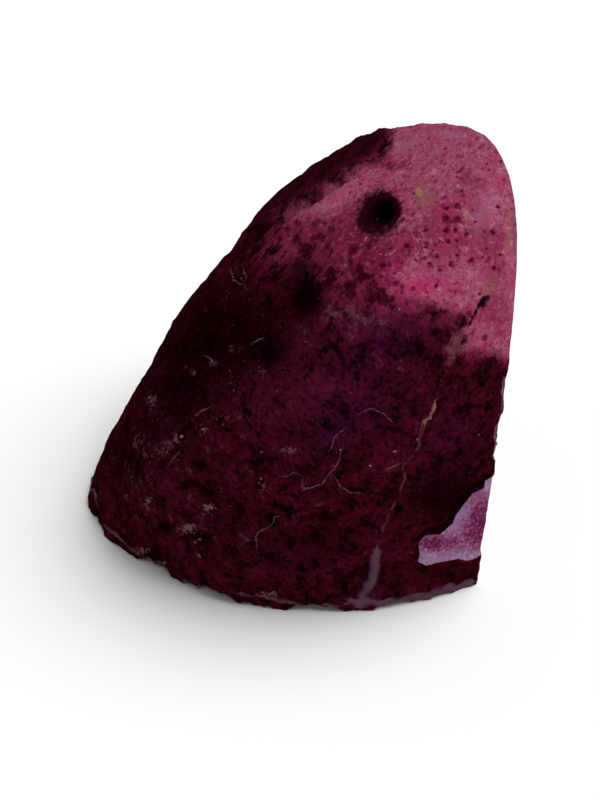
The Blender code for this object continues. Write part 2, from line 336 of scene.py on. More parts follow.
def cameraFacing(points, normals):
    # how squarely surfaces face the camera: 1 straight on, 0 edge-on, below 0 turned away
    place = np.array(viewAxes()[3])
    return (unit(place - points) * normals).sum(1)


def insideOutline(points, outline):
    # distance of flat points from a closed outline, above 0 inside it
    corners = np.array(outline, dtype=float)
    inside = np.zeros(len(points), dtype=bool)
    for a, b in zip(corners, np.roll(corners, -1, axis=0)):
        crosses = (a[1] > points[:, 1]) != (b[1] > points[:, 1])
        rise = b[1] - a[1] if b[1] != a[1] else tiny
        at = a[0] + (points[:, 1] - a[1]) * (b[0] - a[0]) / rise
        inside ^= crosses & (points[:, 0] < at)
    away = np.abs(lineGap(points, list(outline) + [outline[0]]))
    return np.where(inside, away, -away)


def lineGap(points, line):
    # distance of flat points from an open line, below 0 on its left-hand side
    nearest = np.full(len(points), np.inf)
    for a, b in zip(np.array(line[:-1], dtype=float), np.array(line[1:], dtype=float)):
        along, off = b - a, points - a
        share = np.clip(off @ along / max(along @ along, tiny), 0.0, 1.0)
        away = np.linalg.norm(off - share[:, None] * along, axis=1)
        away *= np.where(along[0] * off[:, 1] < along[1] * off[:, 0], -1.0, 1.0)
        nearest = np.where(np.abs(away) < np.abs(nearest), away, nearest)
    return nearest


def toLinear(code):
    # an sRGB hex code as the linear colour that a node wants
    values = [int(code[i:i + 2], 16) / 255.0 for i in (1, 3, 5)]
    return tuple(v / 12.92 if v <= 0.04045 else ((v + 0.055) / 1.055) ** 2.4 for v in values) + (1.0,)


def setInputs(tree, node, inputs):
    # sockets by name or in order: another node's socket is linked, anything else is set
    for key, value in inputs.items() if isinstance(inputs, dict) else enumerate(inputs):
        if isinstance(value, bpy.types.NodeSocket):
            tree.links.new(value, node.inputs[key])
        else:
            node.inputs[key].default_value = value
    return node


def addNode(tree, kind, settings=(), inputs=()):
    # one node with its settings and its inputs
    node = tree.nodes.new("ShaderNode" + kind)
    for key, value in dict(settings).items():
        setattr(node, key, value)
    return setInputs(tree, node, inputs)


def startMaterial(name):
    material = bpy.data.materials.new(name)
    material.use_nodes = True
    return material, material.node_tree, material.node_tree.nodes["Principled BSDF"]


def addNoises(tree, sizes):
    # soft noise at several sizes in millimetres, on the stone's own coordinates
    place = addNode(tree, "TexCoord").outputs["Object"]
    found = {}
    for name, (size, detail, rough) in sizes.items():
        found[name] = addNode(tree, "TexNoise", (), {
            "Vector": place, "Scale": 1.0 / (size * mm), "Detail": detail, "Roughness": rough,
        }).outputs["Fac"]
    return place, found


rindLook = {
    # width in mm, detail, roughness of each noise
    "noises": {
        "grain": (0.42, 1.5, 0.5), "fleck": (0.95, 2.0, 0.55), "blotch": (2.6, 3.0, 0.6),
        "cloud": (11.0, 3.0, 0.55), "mottle": (3.4, 6.0, 0.74), "grit": (0.75, 3.0, 0.7),
    },
    # spacing in mm, widest half width as a share of it, and how rare the wide ones are
    "pinholes": (1.25, 0.36, 2.5),
    # two colours of ground, which a noise mixes, and the layers over them, each one as
    # value, from, to, ragged by, by how much, colour, strength
    # the wall's dark ground is dye with painted shade on walls turned from the lamp; the skin's pale
    # ground is dye with painted light on the top that faces it
    "wall": ("#340710", "#480b1c"),
    "wallLayers": [
        ("purple", 0.15, 1.1, "blotch", 0.9, "#3a0a2a", 0.85),
        ("maroon", 0.15, 1.1, "blotch", 0.9, "#3e060f", 0.85),
        ("pale", -4.5, 0.5, "mottle", 8.0, "#701a38", 0.85),
        ("mottled", 0.15, 1.0, "mottle", 2.4, "#86294c", 0.85),
        ("dusty", 0.2, 1.2, "mottle", 2.4, "#54122e", 0.40),
        ("mottle", 0.55, 0.68, "", 0.0, "#5a0c2a", 0.50),
        # lighter on the relief's lumps: painted light on the ridges
        ("lump", 0.10, 0.9, "fleck", 1.6, "#5e1030", 0.45),
        ("mottle", 0.50, 0.40, "", 0.0, "#0e0105", 0.80),
        ("fleck", 0.47, 0.36, "", 0.0, "#0c0104", 0.55),
        ("grain", 0.48, 0.32, "", 0.0, "#0c0104", 0.40),
        # broad painted shade on the walls turned from the lamp, with deeper dye
        ("shade", 0.15, 1.0, "mottle", 2.2, "#0c0203", 0.85),
        # darker in the relief's hollows: painted shade
        ("lump", -0.1, -0.9, "fleck", 1.0, "#0a0103", 0.75),
        ("dusty", 0.3, 1.4, "fleck", 1.4, "#5e1634", 0.42),
        ("blotch", 0.41, 0.27, "mottle", 1.2, "#0b0104", 0.80),
        ("speckle", 1.0, 1.7, "mottle", 6.5, "#6c3e4e", 0.55),
        ("grit", 0.64, 0.76, "speckle", 0.12, "#7e5464", 0.50),
        # the ledge's dark strip: painted shade on the side of the ledge turned from the lamp, with
        # darker dye
        ("ledge", 0.3, 0.8, "mottle", 2.4, "#22060c", 0.65),
        ("blots", 0.5, -0.4, "mottle", 4.5, "#360614", 0.80),
        # near-black spots: stains, with painted shade in the dimples
        ("dark", 0.10, 0.9, "mottle", 1.2, "#070102", 0.92),
    ],
    "skin": ("#984260", "#b35e78"),
    "skinLayers": [
        ("fresh", 0.15, 0.9, "mottle", 1.6, "#822a46", 0.80),
        ("magenta", 0.20, 1.0, "mottle", 2.0, "#b42c66", 0.80),
        ("mottled", 0.1, 0.9, "mottle", 2.6, "#6a1834", 0.92),
        ("mottle", 0.53, 0.66, "", 0.0, "#782040", 0.85),
        ("mottle", 0.44, 0.32, "", 0.0, "#c2848a", 0.65),
        ("fleck", 0.54, 0.68, "", 0.0, "#74163a", 0.75),
        ("fleck", 0.44, 0.26, "", 0.0, "#ca7ea0", 0.50),
        ("grain", 0.53, 0.70, "", 0.0, "#7e1e42", 0.55),
        ("blotch", 0.50, 0.70, "mottle", 0.5, "#ae2c68", 0.50),
        # painted lilac sheen: the lamp's highlight on the waxy skin
        ("lilac", 0.2, 1.0, "fleck", 1.0, "#b47aa6", 0.55),
        ("tan", 0.3, 1.1, "mottle", 3.0, "#a8746a", 0.65),
        # dark pinholes, which the mesh doesn't have: painted shade of small holes, with dye in them
        ("pinholes", 0.07, -0.03, "", 0.0, "#660a2e", 0.75),
        ("blots", 0.30, -0.5, "mottle", 4.5, "#520a24", 0.85),
        # darker inside the pits: painted shade in the hollows, with dye pooled there
        ("pit", 0.15, 0.60, "", 0.0, "#620c2e", 0.85),
        ("pit", 0.55, 0.95, "", 0.0, "#36061a", 0.85),
        # dark, and near-black in the big pit: painted shade in the hollow, with stains
        ("dark", 0.08, 0.50, "fleck", 0.5, "#28040f", 1.0),
        ("dark", 0.55, 1.5, "fleck", 0.5, "#060102", 1.0),
    ],
    "skinEdge": (-1.5, 1.5, "mottle", 9.0),  # mm, from all wall to all skin, ragged by
    "marks": [
        ("tan", 0.45, 1.5, "mottle", 4.4, "#824450", 0.60),
        ("vein", 0.42, -0.1, "mottle", 3.4, "#5c3038", 0.75),
        ("veinFoot", 4.6, 0.6, "mottle", 9.0, "#4a3040", 0.75),
        ("veinFoot", 2.6, 0.0, "grit", 7.0, "#624856", 0.65),
        ("veinHead", 0.9, 0.2, "fleck", 4.0, "#94685a", 0.65),
        ("scratches", 0.18, 0.02, "grain", 0.9, "#8a6c76", 0.45),
        ("cracks", 0.18, 0.02, "grain", 0.5, "#74526c", 0.66),
        # the crevice painted near-black: painted shade, which the mesh doesn't hollow out
        ("creviceShade", 0.75, 0.2, "fleck", 1.9, "#10020a", 0.92),
        ("footRim", 2.6, 0.4, "mottle", 5.0, "#64485e", 0.75),
        ("rawRim", 0.45, -0.1, "mottle", 3.4, "#74505c", 0.65),
        ("clumps", 0.55, 1.1, "grit", 3.6, "#84606a", 0.60),
        ("amber", 0.35, 0.9, "grain", 0.8, "#b8805c", 0.70),
        ("specks", 0.02, -0.25, "grain", 0.6, "#b48e98", 0.85),
        ("broken", 0.3, 0.9, "grain", 0.6, "#694252", 0.80),
        # painted shadow in the groove along the flake's upper edge
        ("flakeGrooveShadow", 1.6, 0.2, "fleck", 0.8, "#0a0204", 0.88),
    ],
    "flake": ("#885c88", "#a27ca2"),
    "flakeLayers": [
        ("flakeWhite", 0.3, 0.9, "fleck", 1.4, "#9c88a2", 0.7),
        ("flakeCore", 0.25, 0.8, "mottle", 2.6, "#8c3864", 0.85),
        ("mottle", 0.53, 0.66, "", 0.0, "#a88aa8", 0.50),
        ("fleck", 0.54, 0.68, "", 0.0, "#b898b2", 0.45),
        ("flakeCore", 0.9, 1.3, "grit", 4.5, "#5a0c34", 0.85),
        ("grain", 0.50, 0.34, "", 0.0, "#6c3460", 0.40),
    ],
    "flakeEdge": (-0.12, 0.08, "grain", 0.25),
    "relief": [("grain", 0.12), ("fleck", 0.22), ("mottle", 0.60)],  # mm, too small for the mesh
    "finish": {"Roughness": 0.6, "Specular IOR Level": 0.0},
}


def addField(tree, fields, name, ragged="", amount=0.0):
    # a noise, or a value that the mesh carries, made ragged by another one
    if name not in fields:
        fields[name] = addNode(tree, "Attribute", {"attribute_name": name}).outputs["Fac"]
        if name in lineNames:
            fields[name] = addNode(tree, "Math", {"operation": "ABSOLUTE"}, (fields[name],)).outputs[0]
    if not ragged:
        return fields[name]
    rough = addField(tree, fields, ragged)
    rough = addNode(tree, "Math", {"operation": "SUBTRACT"}, (rough, 0.5)).outputs[0]
    return addNode(tree, "Math", {"operation": "MULTIPLY_ADD"}, (rough, amount, fields[name])).outputs[0]


def addLayer(tree, under, over, value, low, high, strength=1.0):
    # lay one colour over another, more and more as a value goes from low to high
    mask = addNode(tree, "MapRange", {"interpolation_type": "SMOOTHSTEP"}, {
        "Value": value, "From Min": low, "From Max": high, "To Max": strength}).outputs[0]
    return addNode(tree, "Mix", {"data_type": "RGBA"}, {0: mask, 6: under, 7: over}).outputs[2]


def addLayers(tree, colour, fields, layers):
    # lay colours over one another, each where its own value says
    for name, low, high, ragged, amount, code, strength in layers:
        value = addField(tree, fields, name, ragged, amount)
        colour = addLayer(tree, colour, toLinear(code), value, low, high, strength)
    return colour


def makeRind():
    # dyed agate rind: a waxy, pitted natural skin that took the dye deep on its rough
    # walls, which look wine-dark, and thinly on the smooth top, which looks dusty pink;
    # the walls' darkness is partly painted shade, and the top's paleness partly painted light
    material, tree, shader = startMaterial("dyedAgateRind")
    place, fields = addNoises(tree, rindLook["noises"])
    spacing, widest, rarity = rindLook["pinholes"]
    cells = addNode(tree, "TexVoronoi", (), {"Vector": place, "Scale": 1.0 / (spacing * mm)})
    size = addNode(tree, "SeparateColor", (), (cells.outputs["Color"],)).outputs[0]
    size = addNode(tree, "Math", {"operation": "POWER"}, (size, rarity)).outputs[0]
    fields["pinholes"] = addNode(tree, "Math", {"operation": "MULTIPLY_ADD"},
                                 (size, -widest, cells.outputs["Distance"])).outputs[0]

    looks = {}
    for part, ground in (("wall", "cloud"), ("skin", "cloud"), ("flake", "blotch")):
        first, second = rindLook[part]
        looks[part] = addNode(tree, "Mix", {"data_type": "RGBA"}, {
            0: fields[ground], 6: toLinear(first), 7: toLinear(second)}).outputs[2]
        looks[part] = addLayers(tree, looks[part], fields, rindLook[part + "Layers"])
    low, high, ragged, amount = rindLook["skinEdge"]
    pale = addField(tree, fields, "pale", ragged, amount)
    colour = addLayer(tree, looks["wall"], looks["skin"], pale, low, high)
    colour = addLayers(tree, colour, fields, rindLook["marks"])
    low, high, ragged, amount = rindLook["flakeEdge"]
    flake = addField(tree, fields, "flake", ragged, amount)
    colour = addLayer(tree, colour, looks["flake"], flake, low, high)

    height = 0.0
    for name, tall in rindLook["relief"]:
        height = addNode(tree, "Math", {"operation": "MULTIPLY_ADD"},
                         (fields[name], tall, height)).outputs[0]
    bump = addNode(tree, "Bump", (), {"Distance": mm, "Strength": 1.0, "Height": height})
    setInputs(tree, shader, {"Base Color": colour, "Normal": bump.outputs["Normal"],
                             **rindLook["finish"]})
    return material


agateLook = {
    # width in mm, detail, roughness of each noise
    "noises": {"wobble": (9.0, 2.0, 0.5), "fine": (1.3, 3.0, 0.6), "cloud": (14.0, 2.0, 0.5),
               "grain": (0.35, 1.0, 0.5)},
    "wobble": 1.3,                     # how far the layers stray from the rind's run, mm
    "wobbleFrom": (0.3, 4.0),          # depths between which they start to stray
    "reach": 16.0,                     # the layers are listed down to this depth, mm
    # depth under the rind in mm, colour of the layer there
    "layers": [
        (0.0, "#1c040c"), (0.7, "#3a0820"), (0.95, "#b07c94"), (1.2, "#7c1246"), (2.0, "#9a1a56"),
        (2.5, "#e0bccc"), (2.9, "#a83068"), (3.8, "#74103e"), (4.6, "#b4588a"), (5.2, "#ecdae2"),
        (5.7, "#aa3c72"), (6.8, "#7e1248"), (8.0, "#5c0a34"), (8.9, "#94285e"), (9.6, "#d2a0b8"),
        (10.2, "#8c1c56"), (11.4, "#66103e"), (12.4, "#8a3a66"), (16.0, "#8a3a66"),
    ],
    "fineLayers": (0.52, 0.34),        # spacing in mm and strength of the finest layers
    # the clear quartz within the layers: the depths between which it starts, the width and
    # length of its columns, and how far they reach into the layers
    "quartzFrom": (11.0, 11.5), "columns": (1.5, 26.0), "teeth": 2.6,
    "quartz": ("#b87ea2", "#702456"),
    # how much each column, fine noise and broad noise shift the tone, and where it starts
    "quartzTones": (0.5, 0.9, 1.2, -0.3),
    # deeper quartz at the hollow: its colour, the distances from nothing to full, its strength
    "quartzRim": "#500a34", "rimReach": (5.0, 0.6, 0.75),
    # rough stone in the chips, as a layer of colour
    "chips": [("broken", 0.25, 0.7, "grain", 0.6, "#6a4454", 1.0)],
    "polish": (0.1, 0.6),              # roughness of the polished face, and in its chips
    "sawDust": "#8c7480",              # what the saw leaves on the base
    "sawMarks": (6.9115, 0.05),        # spacing and height in mm
    "dust": (0.05, 0.5, 0.2),          # how much there is at least, and more by noise and by mark
    "sawnFinish": {"Roughness": 0.5, "Specular IOR Level": 0.3},
}


def addBands(tree, fields):
    # the agate's layers, which follow the rind inwards, and how deep each point lies
    shell = addField(tree, fields, "shell")
    low, high = agateLook["wobbleFrom"]
    free = addNode(tree, "MapRange", {"interpolation_type": "SMOOTHSTEP"}, {
        "Value": shell, "From Min": low, "From Max": high, "To Max": 1.0}).outputs[0]
    wobble = addNode(tree, "Math", {"operation": "SUBTRACT"}, (fields["wobble"], 0.5)).outputs[0]
    wobble = addNode(tree, "Math", {"operation": "MULTIPLY"}, (wobble, free)).outputs[0]
    shell = addNode(tree, "Math", {"operation": "MULTIPLY_ADD"},
                    (wobble, agateLook["wobble"], shell)).outputs[0]
    share = addNode(tree, "Math", {"operation": "DIVIDE"}, (shell, agateLook["reach"])).outputs[0]
    ramp = addNode(tree, "ValToRGB", (), (share,))
    stops = ramp.color_ramp.elements
    for depth, code in agateLook["layers"]:
        at = depth / agateLook["reach"]
        stop = stops[0] if at == 0.0 else stops[-1] if at == 1.0 else stops.new(at)
        stop.position, stop.color = at, toLinear(code)
    # the finest layers only make the colours lighter and darker
    spacing, strength = agateLook["fineLayers"]
    wave = addNode(tree, "Math", {"operation": "MULTIPLY"}, (shell, 2.0 * math.pi / spacing)).outputs[0]
    wave = addNode(tree, "Math", {"operation": "SINE"}, (wave,)).outputs[0]
    tone = addNode(tree, "Math", {"operation": "MULTIPLY_ADD"},
                   (fields["fine"], strength, 1.0 - strength * 0.5)).outputs[0]
    tone = addNode(tree, "Math", {"operation": "MULTIPLY_ADD"}, (wave, strength * 0.5, tone)).outputs[0]
    return shell, addNode(tree, "VectorMath", {"operation": "SCALE"},
                          {0: ramp.outputs[0], "Scale": tone}).outputs[0]


def addQuartz(tree, fields, shell, bands):
    # clear quartz inside the layers, in columns that run towards the hollow
    width, length = agateLook["columns"]
    around = []
    for name, size in (("aroundX", width), ("aroundZ", width), ("rimGap", length)):
        share = (addField(tree, fields, name), size)
        around.append(addNode(tree, "Math", {"operation": "DIVIDE"}, share).outputs[0])
    around = addNode(tree, "CombineXYZ", (), around).outputs[0]
    cells = addNode(tree, "TexVoronoi", (), {"Vector": around, "Scale": 1.0})
    # each column has its own tone, and finer and broader noise shifts it
    column, fine, broad, start = agateLook["quartzTones"]
    tone = addNode(tree, "SeparateColor", (), (cells.outputs["Color"],)).outputs[0]
    tone = addNode(tree, "Math", {"operation": "MULTIPLY_ADD"}, (tone, column, start)).outputs[0]
    tone = addNode(tree, "Math", {"operation": "MULTIPLY_ADD"}, (fields["fine"], fine, tone)).outputs[0]
    cloud = addNode(tree, "Math", {"operation": "SUBTRACT"}, (fields["cloud"], 0.5)).outputs[0]
    cloud = addNode(tree, "Math", {"operation": "MULTIPLY"}, (cloud, broad)).outputs[0]
    tone = addNode(tree, "Math", {"operation": "ADD"}, (tone, cloud)).outputs[0]
    clear, deep = agateLook["quartz"]
    colour = addLayer(tree, toLinear(clear), toLinear(deep), tone, 0.0, 0.9)
    teeth = addNode(tree, "Math", {"operation": "MULTIPLY"},
                    (cells.outputs["Distance"], agateLook["teeth"])).outputs[0]
    near = addNode(tree, "Math", {"operation": "MULTIPLY_ADD"},
                   (teeth, 1.5, addField(tree, fields, "rimGap"))).outputs[0]
    colour = addLayer(tree, colour, toLinear(agateLook["quartzRim"]), near, *agateLook["rimReach"])
    inside = addNode(tree, "Math", {"operation": "SUBTRACT"}, (shell, teeth)).outputs[0]
    return addLayer(tree, bands, colour, inside, *agateLook["quartzFrom"])


def addAgate(tree, fields):
    # layers, quartz, and rough stone in the chips
    colour = addQuartz(tree, fields, *addBands(tree, fields))
    return addLayers(tree, colour, fields, agateLook["chips"])


def makeFace():
    # polished agate: glossy, with sharp dyed layers and clear quartz within them
    material, tree, shader = startMaterial("polishedAgate")
    fields = addNoises(tree, agateLook["noises"])[1]
    colour = addAgate(tree, fields)
    name, low, high, ragged, amount = agateLook["chips"][0][:5]
    polished, chipped = agateLook["polish"]
    rough = addNode(tree, "MapRange", {"interpolation_type": "SMOOTHSTEP"}, {
        "Value": addField(tree, fields, name, ragged, amount), "From Min": low, "From Max": high,
        "To Min": polished, "To Max": chipped}).outputs[0]
    setInputs(tree, shader, {"Base Color": colour, "Roughness": rough})
    return material


def makeBase():
    # sawn agate: the same layers, dulled by saw dust and faint saw marks
    material, tree, shader = startMaterial("sawnAgate")
    place, fields = addNoises(tree, agateLook["noises"])
    colour = addAgate(tree, fields)
    spacing, height = agateLook["sawMarks"]
    # at a scale of 1 the texture's waves are a tenth of pi apart
    marks = addNode(tree, "TexWave", {"bands_direction": "X"}, {
        "Vector": place, "Scale": math.pi / 10.0 / (spacing * mm), "Distortion": 1.5, "Detail": 2.0,
    }).outputs["Fac"]
    least, byCloud, byMark = agateLook["dust"]
    dust = addNode(tree, "Math", {"operation": "MULTIPLY_ADD"},
                   (fields["cloud"], byCloud, least)).outputs[0]
    dust = addNode(tree, "Math", {"operation": "MULTIPLY_ADD"}, (marks, byMark, dust)).outputs[0]
    colour = addNode(tree, "Mix", {"data_type": "RGBA"}, {
        0: dust, 6: colour, 7: toLinear(agateLook["sawDust"])}).outputs[2]
    relief = addNode(tree, "Math", {"operation": "MULTIPLY"}, (marks, height)).outputs[0]
    relief = addNode(tree, "Math", {"operation": "MULTIPLY_ADD"},
                     (fields["grain"], height, relief)).outputs[0]
    bump = addNode(tree, "Bump", (), {"Distance": mm, "Strength": 1.0, "Height": relief})
    setInputs(tree, shader, {"Base Color": colour, "Normal": bump.outputs["Normal"],
                             **agateLook["sawnFinish"]})
    return material


quartzLook = {
    "noises": {"milk": (2.4, 3.0, 0.6), "cloud": (13.0, 2.0, 0.5)},
    "foot": "#b06a92",
    # body, tip and pale clouds: value, from, to, ragged by, by how much, colour, strength
    "layers": [
        ("tip", 0.15, 0.55, "milk", 0.9, "#a83a78", 1.0),
        ("tip", 0.6, 1.1, "milk", 0.9, "#8c1c5c", 1.0),
        ("cloud", 0.52, 0.75, "milk", 0.5, "#e2bccf", 0.7),
    ],
    "finish": {"Roughness": 0.08, "IOR": 1.544, "Transmission Weight": 0.35},
}


def makeQuartz():
    # dyed quartz: milky pink at the crystals' feet, clearer and deeper at their tips, glassy
    material, tree, shader = startMaterial("dyedQuartz")
    fields = addNoises(tree, quartzLook["noises"])[1]
    colour = addLayers(tree, toLinear(quartzLook["foot"]), fields, quartzLook["layers"])
    setInputs(tree, shader, {"Base Color": colour, **quartzLook["finish"]})
    return material


